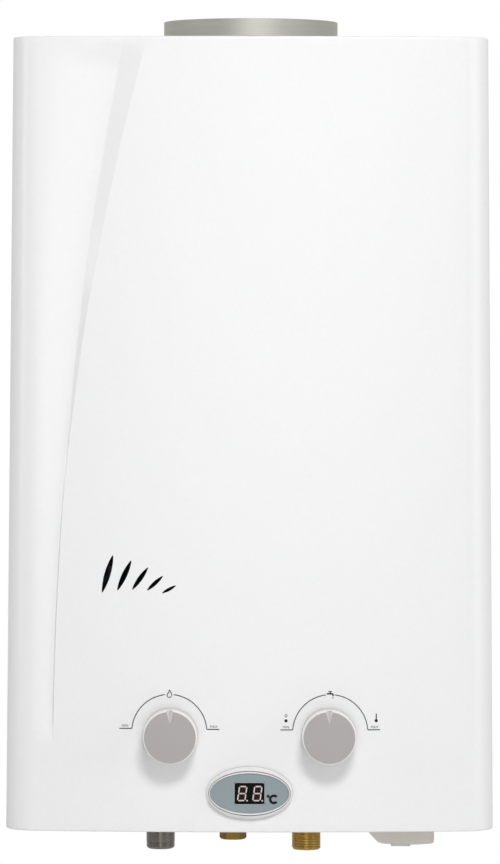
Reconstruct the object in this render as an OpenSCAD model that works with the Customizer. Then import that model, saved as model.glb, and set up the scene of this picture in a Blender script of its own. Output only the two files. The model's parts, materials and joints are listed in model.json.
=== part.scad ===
// Wall-hung tankless gas water heater
// Origin: centre of the wall-hole pattern on the back face. +X right, +Y into the wall, +Z up.

/* [Casing] */
// Width across the bottom of the front cover
case_w = 350; // [344:1:400]
// How much narrower the cover is at its top
case_taper = 8.5; // [0:0.5:14]
// Height of the front cover
case_h = 568; // [556:1:640]
// Depth from the wall to the crown of the bowed front
case_d = 170; // [168:1:195]
// How far the front bows out between its corners
front_bow = 8; // [4:0.5:10]
// Radius of the upright front corners
corner_r = 22; // [18:1:30]
// Sheet thickness of the painted panels
sheet_t = 1.2; // [0.8:0.1:1.6]
// Width of the flanges turned in at the top and bottom of the cover
lip_w = 14; // [10:1:15]
// Sheet thickness of the back plate
back_t = 1.2; // [0.8:0.1:2]
// Depth of the flanges round the back plate
tray_d = 20; // [14:1:24]
// Depth of the channels pressed in the back plate
press_d = 3; // [1:0.5:5]
// Clearance between panels that slide over each other
fit_gap = 0.3; // [0.2:0.05:0.6]

/* [Wall holes] */
// Distance of the wall holes from the sides of the cover
wall_side = 25; // [18:0.5:40]
// Distance of the wall holes from the top and bottom of the cover
wall_end = 34; // [24:0.5:80]
// Diameter of a wall hole
wall_hole_d = 8.5; // [6:0.5:10]

/* [Front pressing] */
// Depth of the pressed crease
crease_depth = 0.5; // [0.2:0.1:0.7]
// Left side of the crease at the top of the cover
crease_top_x = -90.5; // [-110:0.5:-80]
// Width of the crease at the top of the cover
crease_top_w = 17; // [8:0.5:24]
// Where the crease runs out, measured across
crease_foot_x = -140; // [-144:0.5:-130]
// Where the crease runs out, above the bottom of the cover
crease_foot_rise = 84; // [60:1:140]
// Bow of the left side of the crease
crease_sag = 11; // [6:0.5:16]
// How much more the right side of the crease bows
crease_sag_more = 4.2; // [2:0.1:4.2]
// Number of leaf-shaped viewing slots
leaf_n = 5; // [3:1:6]
// Length of the longest slot
leaf_l = 27.4; // [24:0.1:34]
// How much shorter each next slot is
leaf_l_step = 3.9; // [2:0.1:4]
// Width of the widest slot
leaf_w = 3.9; // [3.5:0.1:6]
// How much narrower each next slot is
leaf_w_step = 0.5; // [0.2:0.1:0.55]
// Place of the first slot across
leaf_x = -100.4; // [-120:0.1:-90]
// Distance from one slot to the next
leaf_pitch = 11; // [9:0.1:14]
// Height of the first slot above the bottom of the cover
leaf_rise = 184; // [160:1:220]
// Lean of the first slot, in degrees
leaf_lean = 17; // [5:1:25]
// How much more each next slot leans, in degrees
leaf_lean_step = 11; // [5:1:13]

/* [Flue] */
// Outer diameter of the flue collar
flue_d = 127; // [110:1:130]
// Wall of the flue collar
flue_t = 1; // [0.6:0.1:1.5]
// How far the collar stands above the cover
flue_rise = 14; // [12:0.5:40]
// Height of the stop bead round the collar
bead_h = 2.5; // [1.5:0.5:4]
// How far the hood's top lies below the top of the cover
hood_drop = 42; // [40:1:56]
// Sheet thickness of the hood
hood_t = 0.8; // [0.6:0.1:1.5]
// Number of vents on each side of the flue
vent_n = 5; // [3:1:5]
// Distance between two vents
vent_pitch = 11; // [9:0.5:12]
// Length of a vent
vent_l = 64; // [40:1:80]
// Width of a vent
vent_w = 4; // [3:0.5:6]

/* [Heat exchanger] */
// Width of the combustion chamber
hx_w = 210; // [200:1:214]
// Space in front of the combustion chamber
hx_fore = 36; // [34:0.5:42]
// Space behind the combustion chamber
hx_back = 28; // [26:0.5:30]
// Wall of the combustion chamber
hx_wall = 1; // [0.6:0.1:1.5]
// Height of the chamber below the fins
chamber_h = 190; // [170:1:210]
// Height of the finned part
fin_h = 52; // [50:1:60]
// Number of fins
fin_n = 26; // [16:1:40]
// Thickness of a fin
fin_t = 0.5; // [0.3:0.1:0.8]
// Outer diameter of the exchanger tube
tube_d = 12; // [10:0.5:13]
// Wall of the exchanger tube
tube_t = 0.8; // [0.5:0.1:1.2]
// Distance between tubes in a row
tube_pitch = 32; // [30:0.5:34]
// Distance between the two rows of tubes
tube_row = 22; // [20:0.5:24]
// Outer diameter of the riser and the hot pipe
pipe_d = 13; // [11:0.5:14]
// Wall of the riser and the hot pipe
pipe_t = 1; // [0.6:0.1:1.5]

/* [Burner] */
// Height of the burner above the knobs
burner_rise = 62; // [58:1:70]
// Height of the burner frame
burner_h = 58; // [56:1:66]
// Width of the burner frame
burner_w = 200; // [194:1:202]
// How far the burner frame lies inside the chamber's front and back
burner_in = 3; // [2:0.5:5]
// Number of burner bars
bar_n = 9; // [6:1:10]
// Distance between two bars
bar_pitch = 21; // [19:0.5:21.5]
// Width of a bar
bar_w = 12; // [8:0.5:15]
// Height of a bar
bar_h = 51; // [46:1:52]
// Section of the gas manifold
manifold_s = 16; // [14:0.5:18]
// Length of a gas jet
jet_l = 9; // [7:0.5:11]
// Air gap between a jet and its bar
jet_gap = 3; // [2:0.5:5]

/* [Knobs] */
// Diameter at the base of a knob
knob_d = 38.5; // [32:0.5:44]
// Diameter of a knob's face
knob_face_d = 37.3; // [30:0.5:38]
// Height of a knob
knob_h = 20; // [18:0.5:26]
// Wall of a knob's skirt
knob_wall = 2; // [1.5:0.1:3]
// Gap between a knob and the cover
knob_gap = 1.2; // [0.6:0.1:2.5]
// Distance between the knobs
knob_pitch = 113; // [106:0.5:120]
// Height of the knobs above the bottom of the cover
knob_rise = 69.6; // [68:0.1:76]
// Diameter of a knob's spindle
spindle_d = 8; // [6:0.5:10]
// Diameter of the holes for the spindles in the cover
spindle_hole_d = 18; // [14:0.5:24]
// Width of the pointer groove at the knob's rim
pointer_w = 4.7; // [3:0.1:6]
// Length of the pointer groove
pointer_l = 9; // [6:0.5:12]

/* [Display] */
// Width of the bezel
bezel_w = 62; // [58:0.5:70]
// Height of the bezel
bezel_h = 37.6; // [36:0.2:42]
// How far the bezel stands out of the front
bezel_d = 6; // [4:0.5:8]
// Width of the oval panel
panel_w = 56.4; // [54:0.2:57]
// Height of the oval panel
panel_h = 28.4; // [27:0.2:29]
// Width of the digit window
window_w = 21.4; // [18:0.2:26]
// Height of the digit window
window_h = 15.2; // [12:0.2:16]
// Height of the display above the bottom of the cover
display_rise = 28.4; // [27:0.1:30]
// Clearance of the display's own fits
display_gap = 0.15; // [0.1:0.05:0.3]

/* [Pipe stubs] */
// Outer diameter of the half-inch pipe thread
thread_d = 20.955; // [16:0.001:24]
// Length of the threaded end
thread_l = 20; // [15:0.5:28]
// Place of the hot-water outlet across
hot_x = -65; // [-68:0.5:-60]
// Place of the gas inlet across
gas_x = -12; // [-14:0.5:-8]
// Place of the cold-water inlet across
cold_x = 41.5; // [40:0.5:48]
// Width across the flats of the gas inlet
gas_af = 17; // [15:0.5:19]
// Bore of the gas inlet's quarter-inch thread
gas_bore_d = 11.445; // [9:0.001:12]
// Length of the gas inlet's bore
gas_bore_l = 11; // [8:0.5:14]
// How far the gas inlet stands below the cover
gas_drop = 14.5; // [12:0.5:20]

/* [Valves] */
// Distance from the middle to the split of the water valve
split_x = 27; // [25:0.5:29]
// Radius of the water valve's diaphragm housing
housing_r = 36; // [34:0.5:38]
// Depth of each half of the diaphragm housing
housing_t = 14.5; // [13:0.5:16]
// Thickness of the diaphragm
diaphragm_t = 1.5; // [1:0.1:2.5]
// Diameter of the push rod
rod_d = 5; // [4:0.5:6]
// Travel of the push rod
rod_travel = 4; // [2:0.5:5]
// Running clearance of a shaft in its bore
run_gap = 0.05; // [0.02:0.01:0.1]
// Diameter of the solenoid
solenoid_d = 28; // [22:1:32]
// Length of the solenoid
solenoid_l = 24; // [20:1:30]

/* [Battery box] */
// Diameter of a cell
cell_d = 33.2; // [30:0.1:34.2]
// Length of a cell with its cap
cell_l = 60.5; // [55:0.5:61.5]
// Play round a cell
cell_play = 1.5; // [0.6:0.1:2]
// Wall of the box and its door
box_wall = 2; // [1.5:0.1:2.5]
// Place of the box across
battery_x = 113.5; // [112:0.5:118]
// How far the door stands below the cover
door_drop = 14.5; // [12:0.5:20]
// How far the door's finger lip stands out
door_lip = 8.5; // [4:0.1:9]
// Diameter of the hinge pin
pin_d = 2.5; // [2:0.1:3]

/* [Wiring] */
// Diameter of a lead
lead_d = 3.2; // [2:0.1:3.6]
// Width of the igniter module
igniter_w = 26; // [20:0.5:27]
// Depth of the igniter module
igniter_d = 56; // [50:1:58]
// Height of the igniter module
igniter_h = 90; // [60:1:100]

/* [Hidden] */
$fn = 64;
// Extra reach of a cutter past the face that it cuts
eps = 1;

// Casing levels
z_top = case_h / 2;
z_bot = -case_h / 2;
y_front = -case_d;
corner_x = case_w / 2 - corner_r;
bow_r = (corner_x * corner_x + front_bow * front_bow) / (2 * front_bow);
bow_y = y_front + bow_r;
corner_y = bow_y - sqrt(pow(bow_r - corner_r, 2) - corner_x * corner_x);
taper_a = atan(case_taper / 2 / case_h);
wall_gap = 0.5;
wall_pitch_x = case_w - 2 * wall_side;
wall_pitch_z = case_h - 2 * wall_end;
panel_inset = sheet_t + fit_gap;
top_z = z_top - 2 * sheet_t - fit_gap;
bottom_z = z_bot + sheet_t + fit_gap;
floor_z = bottom_z + sheet_t;
channel_w = 16;
channel_l = case_h - 188;
channel_x = case_w / 2 - 57;
air_slot_side = 27;
air_slot_pitch = 12;

// Cover screws
screw_d = 3.8;
screw_l = 7;
screw_head_d = 7.4;
screw_head_h = 2.2;
screw_hole_d = 4.2;
side_screw_z = case_h / 2 - 79;
bottom_screw_x = case_w / 2 - sheet_t - lip_w / 2;
bottom_screw_setback = 70;
bottom_screw_y = y_front + bottom_screw_setback;

// Knobs and valves
z_knob = z_bot + knob_rise;
x_gas = -knob_pitch / 2;
x_water = knob_pitch / 2;
y_valve = -case_d / 2;
y_knob = front_y(knob_pitch / 2 - knob_d / 2) - knob_gap;
valve_rear = y_valve + 39;
gas_block_l = 34;
gas_block_r = 30;
gas_block_h = 48;
gas_block_front = y_valve - 33;
gas_neck_x = x_gas + gas_block_r + 6;
boss_d = 28;
boss_l = 8;
gland_d = 18;
gland_l = 7;
gland_y = gas_block_front - boss_l - gland_l;
spindle_in = 34;
tip_d = spindle_d - 2;
tip_flat = 0.8;
tip_l = knob_h - 7;
stub_top = z_bot + 12;
water_block_r = 24;
water_block_h = 44;
arm_half = 13;
arm_left = 10;
arm_right = 12;
arm_lap = 4;
nut_seat = 4;
bolt_reach = 12;
cap_x = split_x - housing_t;
body_x = split_x + diaphragm_t;
bolt_circle_r = housing_r - 5;
bolt_n = 6;
bolt_d = 4;
rod_neck_r = 9;
rod_neck_l = 8;
cavity_r = housing_r - 10;
plate_r = cavity_r - 4;
plate_t = 2;
plate_gap = 0.5;
cavity_l = plate_gap + plate_t + rod_travel + 3.5;
rod_in = 14;
rod_bore_l = rod_in + rod_travel + 8;
collar_r = 7;
collar_t = 3;
collar_x = -5;
switch_w = 10;
switch_d = 6.4;
switch_h = 20;
switch_z = z_knob + 10.5;
lever_t = 0.8;
lever_pivot_x = cap_x - switch_w - 2;
lever_pivot_z = z_knob + 28;
lever_eye_r = 1.7;
lever_pin_d = 1.6;
lever_foot_z = z_knob + 5;

// Burner and exchanger
hx_d = case_d - hx_back - hx_fore;
burner_d = hx_d - 2 * burner_in;
y_hx = -(hx_back + hx_d / 2);
hx_front = -(hx_back + hx_d);
z_burner = z_knob + burner_rise;
z_hx = z_burner + burner_h;
z_fins = z_hx + chamber_h;
z_hx_top = z_fins + fin_h;
z_hood_top = z_top - hood_drop;
flange_w = 8;
burner_t = 1.2;
burner_front = y_hx - burner_d / 2;
rail_t = 3;
rail_w = 10;
mouth_z = z_burner + 13;
mouth_d = 10;
manifold_rear = burner_front - jet_gap - jet_l;
manifold_y = manifold_rear - manifold_s / 2;
manifold_t = 1.5;
feed_y = y_valve - 15;
feed_d = 14;
feed_top = z_knob + gas_block_h / 2 + 5;
tube_r = tube_d / 2;
row_low = z_hx_top - 40;
row_high = row_low + tube_row;
tube_seq = [
    [y_hx - tube_pitch, row_low],
    [y_hx, row_low],
    [y_hx + tube_pitch, row_low],
    [y_hx + tube_pitch, row_high],
    [y_hx, row_high]
];
tube_slack = 0.1;
tube_bend = min(tube_pitch, tube_row) / 2 - 0.5;
tube_turn_x = hx_w / 2 + 4 + tube_bend;
tube_end_x = hx_w / 2 + 12;
coil_z = z_hx + 0.55 * chamber_h;
coil_off = tube_r + 1.5;
coil_bend = 9;
riser_out = 27;
riser_x = hx_w / 2 + riser_out;
riser_y = y_valve + 15;
riser_z = z_knob + 8;
riser_top = coil_z - 40;
pipe_bend = 14;
hot_pipe_out = 37;
hot_pipe_x = -(hx_w / 2 + hot_pipe_out);
hot_pipe_y = tube_seq[4].x;
hot_run_z = z_bot + 30;
hat_h = 20;
hat_w = 120;
hat_t = 1.5;
hat_rises = [0.18 * chamber_h, 0.81 * chamber_h];

// Electrodes
z_spark = z_hx + 14;
x_spark = -10;
x_flame = 30;
ceramic_d = 7;
electrode_d = 2.4;
electrode_front = hx_front - 18;
electrode_reach = 26;
lead_in = 4;
plate_x = 10;
plate_w = 84;
plate_h = 20;

// Igniter module and display
igniter_x = case_w / 2 - panel_inset - back_t - case_taper / 2 - igniter_w;
igniter_z0 = z_hx - 26;
lead_front = -back_t - igniter_d;
lead_x = igniter_x + igniter_w / 2;
lead_bend = 8;
lead_lane = 4;
spark_lane = 5;
solenoid_lead_y = -14;
switch_lead_y = -24;
battery_lead_y = -50;
z_display = z_bot + display_rise;
bezel_slope = 2.4;
panel_t = 1.5;
panel_sink = 1;
panel_y = y_front - bezel_d + panel_sink + panel_t;
neck_w = panel_w - 2.4;
neck_h = panel_h - 2.4;
neck_wall = 2;
neck_l = 12;
board_y = y_front + neck_l;
board_t = 1.6;
board_w = 56;
board_h = 27;

// Battery box
box_w = cell_d + 2 * cell_play + 2 * box_wall;
box_d = 2 * cell_d + 3 * cell_play + 2 * box_wall;
box_z0 = z_bot - 3.5;
cell_z = z_bot - 7;
contact_t = 0.5;
contact_gap = 0.3;
box_z1 = cell_z + cell_l + contact_gap + contact_t + box_wall;
knuckle_r = pin_d / 2 + 1.4;
hinge_x = battery_x + box_w / 2 + knuckle_r + 0.3;
hinge_z = box_z0 - 0.2;
knuckle_l = 14;
knuckle_gap = 0.3;
door_z0 = z_bot - door_drop;
door_z1 = box_z0 - 0.5;

// Pipe stubs
stub_flange_t = 4;
stub_neck_gap = 0.45;
stub_bore_d = thread_d - 7;
stub_socket_d = thread_d - 3;
stub_end = 1;
thread_top = z_bot - 1;

// Front of the cover at a given distance across
function front_y(x) = bow_y - sqrt(bow_r * bow_r - x * x);

function unit(v) = v / norm(v);

// Length that a bend takes from the run on each side of a corner
function setback(route, i, bend) =
    let(u = unit(route[i] - route[i - 1]), v = unit(route[i + 1] - route[i]))
    bend * tan(acos(max(-1, min(1, u * v))) / 2);

// The same route with both ends run on by a short length
function run_on(route, more) =
    let(n = len(route))
    [for (i = [0 : n - 1])
        i == 0 ? route[0] - more * unit(route[1] - route[0])
        : i == n - 1 ? route[i] + more * unit(route[i] - route[i - 1])
        : route[i]];

// Half of the casing's plan, set in by a given amount
module plan_half(inset, rear) {
    intersection() {
        translate([0, bow_y]) circle(r = bow_r - inset, $fn = 1440);
        translate([-2, y_front - 5])
            square([2 + corner_x * (bow_r - inset) / (bow_r - corner_r), corner_y - y_front + 5]);
    }
    translate([corner_x, corner_y]) circle(r = corner_r - inset, $fn = 96);
    translate([-2, corner_y]) square([2 + case_w / 2 - inset, rear - corner_y]);
}

// Right half of the tapering casing between two levels
module case_half(inset, z0, z1, rear) {
    intersection() {
        lean() translate([0, 0, -10]) linear_extrude(case_h + 20) plan_half(inset, rear);
        translate([0, y_front - eps, z0]) cube([case_w, rear - y_front + 2 * eps, z1 - z0]);
    }
}

// Frame of the right side wall, which leans in towards the top
module lean() {
    translate([0, 0, z_bot]) rotate([0, -taper_a, 0]) children();
}

module both_sides() {
    children();
    mirror([1, 0, 0]) children();
}

module case_solid(inset, z0, z1, rear) {
    both_sides() case_half(inset, z0, z1, rear);
}

// Slice of the casing's inside between two depths
module case_slice(inset, z0, z1, y0, y1) {
    intersection() {
        case_solid(inset, z0, z1, y1);
        translate([-case_w, y0, z0]) cube([2 * case_w, y1 - y0, z1 - z0]);
    }
}

// Extrudes an outline drawn across and up, forward from a depth
module forward(y, depth) {
    translate([0, y, 0]) rotate([90, 0, 0]) linear_extrude(depth) children();
}

module rod_y(x, z, y0, y1, d) {
    translate([x, y0, z]) rotate([-90, 0, 0]) cylinder(d = d, h = y1 - y0);
}

module rod_x(y, z, x0, x1, d) {
    translate([x0, y, z]) rotate([0, 90, 0]) cylinder(d = d, h = x1 - x0);
}

module rod_z(x, y, z0, z1, d) {
    translate([x, y, z0]) cylinder(d = d, h = z1 - z0);
}

// Rectangle with round corners, centred
module round_rect(w, h, r) {
    square([w - 2 * r, h], center = true);
    square([w, h - 2 * r], center = true);
    for (x = [-1, 1], y = [-1, 1])
        translate([x * (w / 2 - r), y * (h / 2 - r)]) circle(r = r);
}

// Slot with round ends, along its first axis, centred
module round_slot(l, w) {
    square([l - w, w], center = true);
    for (s = [-1, 1]) translate([s * (l - w) / 2, 0]) circle(d = w);
}

module oval(w, h) {
    polygon([for (i = [0 : 71]) [w / 2 * cos(5 * i + 2.5), h / 2 * sin(5 * i + 2.5)]]);
}

// Straight run of an outline from one point to another
module run(a, b) {
    d = b - a;
    l = norm(d);
    translate(a) rotate([0, acos(d.z / l), atan2(d.y, d.x)]) linear_extrude(l) children();
}

// Bend of an outline at corner i of its route
module bend_at(route, i, bend) {
    u = unit(route[i] - route[i - 1]);
    v = unit(route[i + 1] - route[i]);
    side = unit(v - (u * v) * u);
    c = route[i] - setback(route, i, bend) * u + bend * side;
    w = cross(-side, u);
    multmatrix([
        [-side.x, u.x, w.x, c.x],
        [-side.y, u.y, w.y, c.y],
        [-side.z, u.z, w.z, c.z],
        [0, 0, 0, 1]
    ])
        rotate_extrude(angle = acos(u * v), $fn = 48) translate([bend, 0]) children();
}

// Outline swept along a route of straight runs and round bends
module along(route, bend) {
    n = len(route);
    for (i = [0 : n - 2]) {
        u = unit(route[i + 1] - route[i]);
        a = i == 0 ? route[i] : route[i] + setback(route, i, bend) * u;
        b = i == n - 2 ? route[i + 1] : route[i + 1] - setback(route, i + 1, bend) * u;
        run(a, b) children();
        if (i < n - 2) bend_at(route, i + 1, bend) children();
    }
}

module bent_rod(route, d, bend) {
    along(route, bend) circle(d = d, $fn = 32);
}

module bent_pipe(route, d, wall, bend) {
    along(route, bend) difference() {
        circle(d = d, $fn = 32);
        circle(d = d - 2 * wall, $fn = 32);
    }
}

// Leaf outline between two arcs, pointed at both ends
module leaf(l, w) {
    r = (l * l + w * w) / (4 * w);
    intersection() {
        translate([r - w / 2, 0]) circle(r = r, $fn = 180);
        translate([w / 2 - r, 0]) circle(r = r, $fn = 180);
    }
}

// Viewing slots, which shrink and lean over one after the other
module leaf_cuts() {
    drop = 0.66;
    for (i = [0 : leaf_n - 1])
        translate([leaf_x + i * leaf_pitch, 0, z_bot + leaf_rise - drop * i * i])
            rotate([0, leaf_lean + i * leaf_lean_step, 0])
                forward(y_front + 15, 30) leaf(leaf_l - i * leaf_l_step, leaf_w - i * leaf_w_step);
}

// Disc whose edge runs through two points and bows out to the left between them
module bowed_disc(a, b, sag) {
    chord = norm(b - a);
    r = (chord * chord / 4 + sag * sag) / (2 * sag);
    side = unit([b.y - a.y, a.x - b.x]);
    translate((a + b) / 2 + (r - sag) * side) circle(r = r, $fn = 2880);
}

// Crease that sweeps down the left of the front and narrows to its foot
module crease_cut() {
    foot = [crease_foot_x, z_bot + crease_foot_rise];
    left = [crease_top_x, z_top];
    right = [crease_top_x + crease_top_w, z_top];
    blunt = 24;
    difference() {
        forward(y_front + 16, 30) intersection() {
            difference() {
                bowed_disc(foot, left, crease_sag);
                bowed_disc(foot, right, crease_sag + crease_sag_more);
            }
            translate([foot.x - 5, foot.y + blunt])
                square([right.x - foot.x + 10, z_top + eps - foot.y - blunt]);
        }
        mirror([1, 0, 0]) case_half(crease_depth, z_bot - eps, z_top + 2 * eps, 0);
    }
}

// Places of the cover's side screws, in the frame of a side wall
module side_screws() {
    both_sides()
        for (s = [-1, 1])
            lean()
                translate([case_w / 2, -tray_d / 2, case_h / 2 + s * side_screw_z])
                    rotate([0, 90, 0]) children();
}

module bottom_screws() {
    both_sides()
        translate([bottom_screw_x, bottom_screw_y, z_bot]) rotate([180, 0, 0]) children();
}

module screw_hole() {
    translate([0, 0, -12]) cylinder(d = screw_hole_d, h = 24);
}

module back_plate() {
    color("lightsteelblue")
    difference() {
        union() {
            difference() {
                case_slice(panel_inset, floor_z, top_z, -tray_d, 0);
                case_slice(panel_inset + back_t, floor_z + back_t, top_z - back_t, -tray_d - eps, -back_t);
            }
            both_sides() translate([channel_x, 0, 0])
                forward(0, press_d + back_t) rotate(90)
                    round_slot(channel_l + 2 * back_t, channel_w + 2 * back_t);
        }
        both_sides() translate([channel_x, 0, 0])
            forward(eps, press_d + eps) rotate(90) round_slot(channel_l, channel_w);
        for (x = [-1, 1], z = [-1, 1])
            rod_y(x * wall_pitch_x / 2, z * wall_pitch_z / 2, -back_t - eps, eps, wall_hole_d);
        rod_z(0, y_hx, top_z - back_t - eps, top_z + eps, flue_d + 2 * fit_gap);
        side_screws() screw_hole();
    }
}

module front_cover() {
    color("white")
    difference() {
        difference() {
            case_solid(0, z_bot, z_top, -wall_gap);
            case_solid(sheet_t, z_bot + sheet_t, z_top - sheet_t, eps);
            case_solid(sheet_t + lip_w, z_bot - eps, z_top + eps, eps);
        }
        crease_cut();
        leaf_cuts();
        for (x = [x_gas, x_water]) rod_y(x, z_knob, y_front - 5, y_front + 15, spindle_hole_d);
        translate([0, 0, z_display])
            forward(y_front + 10, 20) oval(neck_w + 2 * display_gap, neck_h + 2 * display_gap);
        side_screws() screw_hole();
        bottom_screws() screw_hole();
    }
}

module top_panel() {
    first = flue_d / 2 + 24;
    color("white")
    difference() {
        case_slice(panel_inset, top_z, top_z + sheet_t, y_front, -wall_gap);
        rod_z(0, y_hx, top_z - eps, top_z + sheet_t + eps, flue_d + 2 * fit_gap);
        both_sides() for (i = [0 : vent_n - 1])
            translate([first + i * vent_pitch, y_hx, top_z - eps])
                linear_extrude(sheet_t + 2 * eps) rotate(90) round_slot(vent_l, vent_w);
    }
}

// Row of slots that lie front to back
module slot_row(x, y, n, pitch, l) {
    for (i = [0 : n - 1]) translate([x + i * pitch, y]) rotate(90) round_slot(l, vent_w);
}

// Air slots of the bottom panel: one row at the left, one behind the stubs, one before them
module air_slots() {
    middle_n = 10;
    middle_pitch = 13;
    middle_x = -62;
    rear_y = -26;
    fore_y = y_valve - 46;
    slot_row(air_slot_side - case_w / 2, y_valve, vent_n, air_slot_pitch, vent_l);
    slot_row(middle_x, rear_y, middle_n, middle_pitch, vent_l / 2);
    slot_row(middle_x, fore_y, middle_n, middle_pitch, vent_l / 3);
}

module bottom_panel() {
    color("white")
    difference() {
        case_slice(panel_inset, bottom_z, floor_z, y_front, -wall_gap);
        translate([0, 0, bottom_z - eps]) linear_extrude(sheet_t + 2 * eps) {
            translate([hot_x, hot_pipe_y]) circle(d = thread_d + 2 * stub_neck_gap);
            translate([cold_x, y_valve]) circle(d = thread_d + 2 * stub_neck_gap);
            translate([gas_x, y_valve]) circle(d = gas_af / cos(30) + 2 * stub_neck_gap);
            translate([battery_x, y_valve])
                square([box_w + 2 * fit_gap, box_d + 2 * fit_gap], center = true);
            air_slots();
        }
        bottom_screws() screw_hole();
    }
}

// Pan-head screw whose head stands on z = 0
module pan_screw() {
    crown = 0.8;
    rotate_extrude() polygon([
        [0, -screw_l], [screw_d / 2, -screw_l], [screw_d / 2, 0], [screw_head_d / 2, 0],
        [screw_head_d / 2, screw_head_h - crown],
        [screw_head_d / 2 - crown, screw_head_h], [0, screw_head_h]
    ]);
}

module cover_screws() {
    color("silver") {
        side_screws() pan_screw();
        bottom_screws() pan_screw();
    }
}

module flue_collar() {
    r = flue_d / 2;
    bead_z = top_z + sheet_t;
    flange = 6;
    lip = 0.4;
    color("gainsboro")
    translate([0, y_hx, 0]) rotate_extrude($fn = 180) polygon([
        [r - flue_t, z_hood_top], [r + flange, z_hood_top], [r + flange, z_hood_top + flue_t],
        [r, z_hood_top + flue_t], [r, bead_z], [r + bead_h, bead_z], [r + bead_h, bead_z + bead_h / 2],
        [r, bead_z + bead_h], [r, z_top + flue_rise - lip], [r - lip, z_top + flue_rise],
        [r - flue_t, z_top + flue_rise]
    ]);
}

// Hood's tapering form from the chamber up to the flue, set in by a wall
module hood_form(inset, more) {
    hull() {
        translate([-hx_w / 2 + inset, hx_front + inset, z_hx_top - more])
            cube([hx_w - 2 * inset, hx_d - 2 * inset, hood_t + more]);
        rod_z(0, y_hx, z_hood_top - hood_t, z_hood_top + more, flue_d - 2 * flue_t - 2 * inset, $fn = 48);
    }
}

module draft_hood() {
    relief_w = 150;
    relief_h = 16;
    relief_z = z_hx_top + 14;
    flange = 7;
    color("silver")
    difference() {
        union() {
            hood_form(0, 0);
            translate([-hx_w / 2 - flange_w, hx_front - flange_w, z_hx_top])
                cube([hx_w + 2 * flange_w, hx_d + 2 * flange_w, hood_t]);
            rod_z(0, y_hx, z_hood_top - hood_t, z_hood_top, flue_d + 2 * flange);
        }
        hood_form(hood_t, eps);
        translate([-relief_w / 2, hx_front - eps, relief_z])
            cube([relief_w, hx_d + 2 * eps, relief_h]);
    }
}

module chamber_shell() {
    color("peru")
    difference() {
        union() {
            translate([-hx_w / 2, hx_front, z_hx]) cube([hx_w, hx_d, z_hx_top - z_hx]);
            for (z = [z_hx, z_hx_top - hx_wall])
                translate([-hx_w / 2 - flange_w, hx_front - flange_w, z])
                    cube([hx_w + 2 * flange_w, hx_d + 2 * flange_w, hx_wall]);
        }
        translate([-hx_w / 2 + hx_wall, hx_front + hx_wall, z_hx - eps])
            cube([hx_w - 2 * hx_wall, hx_d - 2 * hx_wall, z_hx_top - z_hx + 2 * eps]);
        for (p = tube_seq) rod_x(p.x, p.y, -hx_w / 2 - eps, hx_w / 2 + eps, tube_d + 2 * tube_slack);
        for (x = [x_spark, x_flame])
            rod_y(x, z_spark, hx_front - eps, hx_front + hx_wall + eps, ceramic_d + 2 * tube_slack);
    }
}

module fin_pack() {
    margin = 8;
    side_gap = 0.2;
    foot = 4;
    scallop_d = 16;
    pitch = (hx_w - 2 * margin) / (fin_n - 1);
    color("sandybrown")
    for (i = [0 : fin_n - 1])
        translate([-hx_w / 2 + margin + i * pitch - fin_t / 2, 0, 0])
            rotate([90, 0, 90]) linear_extrude(fin_t) difference() {
                translate([hx_front + hx_wall + side_gap, z_fins + foot])
                    square([hx_d - 2 * hx_wall - 2 * side_gap, fin_h - 2 * foot]);
                for (p = tube_seq) translate(p) circle(d = tube_d + 2 * tube_slack);
                for (s = [-1, 1])
                    translate([y_hx + s * tube_pitch / 2, z_fins + foot]) circle(d = scallop_d);
            }
}

// Route of the finned tube: along, back, along, up to the second row, and back
function tube_route() =
    let(x = tube_turn_x, e = tube_end_x, s = tube_seq)
    [
        [e, s[0].x, s[0].y], [-x, s[0].x, s[0].y], [-x, s[1].x, s[1].y], [x, s[1].x, s[1].y],
        [x, s[2].x, s[2].y], [-x, s[2].x, s[2].y], [-x, s[3].x, s[3].y], [x, s[3].x, s[3].y],
        [x, s[4].x, s[4].y], [-e, s[4].x, s[4].y]
    ];

module exchanger_tubes() {
    color("chocolate") bent_pipe(tube_route(), tube_d, tube_t, tube_bend);
}

// Coil that keeps the chamber's walls cool, from the riser to the finned tube
module chamber_coil() {
    side = hx_w / 2 + coil_off;
    front = hx_front - coil_off;
    rear = -hx_back + coil_off;
    step = 30;
    corner_in = 17;
    reach = 13;
    up_x = hx_w / 2 - corner_in;
    out_x = tube_end_x + reach;
    color("chocolate")
    bent_pipe([
        [riser_x, riser_y, riser_top], [riser_x, riser_y, coil_z], [side, riser_y, coil_z],
        [side, front, coil_z], [-side, front, coil_z], [-side, rear, coil_z],
        [up_x, rear, coil_z], [up_x, rear, coil_z + step], [out_x, rear, coil_z + step],
        [out_x, tube_seq[0].x, coil_z + step], [out_x, tube_seq[0].x, row_low],
        [tube_end_x, tube_seq[0].x, row_low]
    ], tube_d, tube_t, coil_bend);
}

module exchanger_brackets() {
    color("lightslategray")
    for (rise = hat_rises)
        translate([-hat_w / 2, -hx_back, z_hx + rise]) difference() {
            cube([hat_w, hx_back - back_t, hat_h]);
            translate([hat_t, hat_t, -eps]) cube([hat_w - 2 * hat_t, hx_back, hat_h + 2 * eps]);
        }
}

module cold_riser() {
    start = x_water + water_block_r + nut_seat;
    color("chocolate")
    bent_pipe([
        [start, riser_y, riser_z], [riser_x, riser_y, riser_z], [riser_x, riser_y, riser_top]
    ], pipe_d, pipe_t, pipe_bend);
}

module hot_pipe() {
    color("chocolate")
    bent_pipe([
        [-tube_end_x, hot_pipe_y, row_high], [hot_pipe_x, hot_pipe_y, row_high],
        [hot_pipe_x, hot_pipe_y, hot_run_z], [hot_x, hot_pipe_y, hot_run_z], [hot_x, hot_pipe_y, stub_top]
    ], pipe_d, pipe_t, pipe_bend);
}

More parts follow.
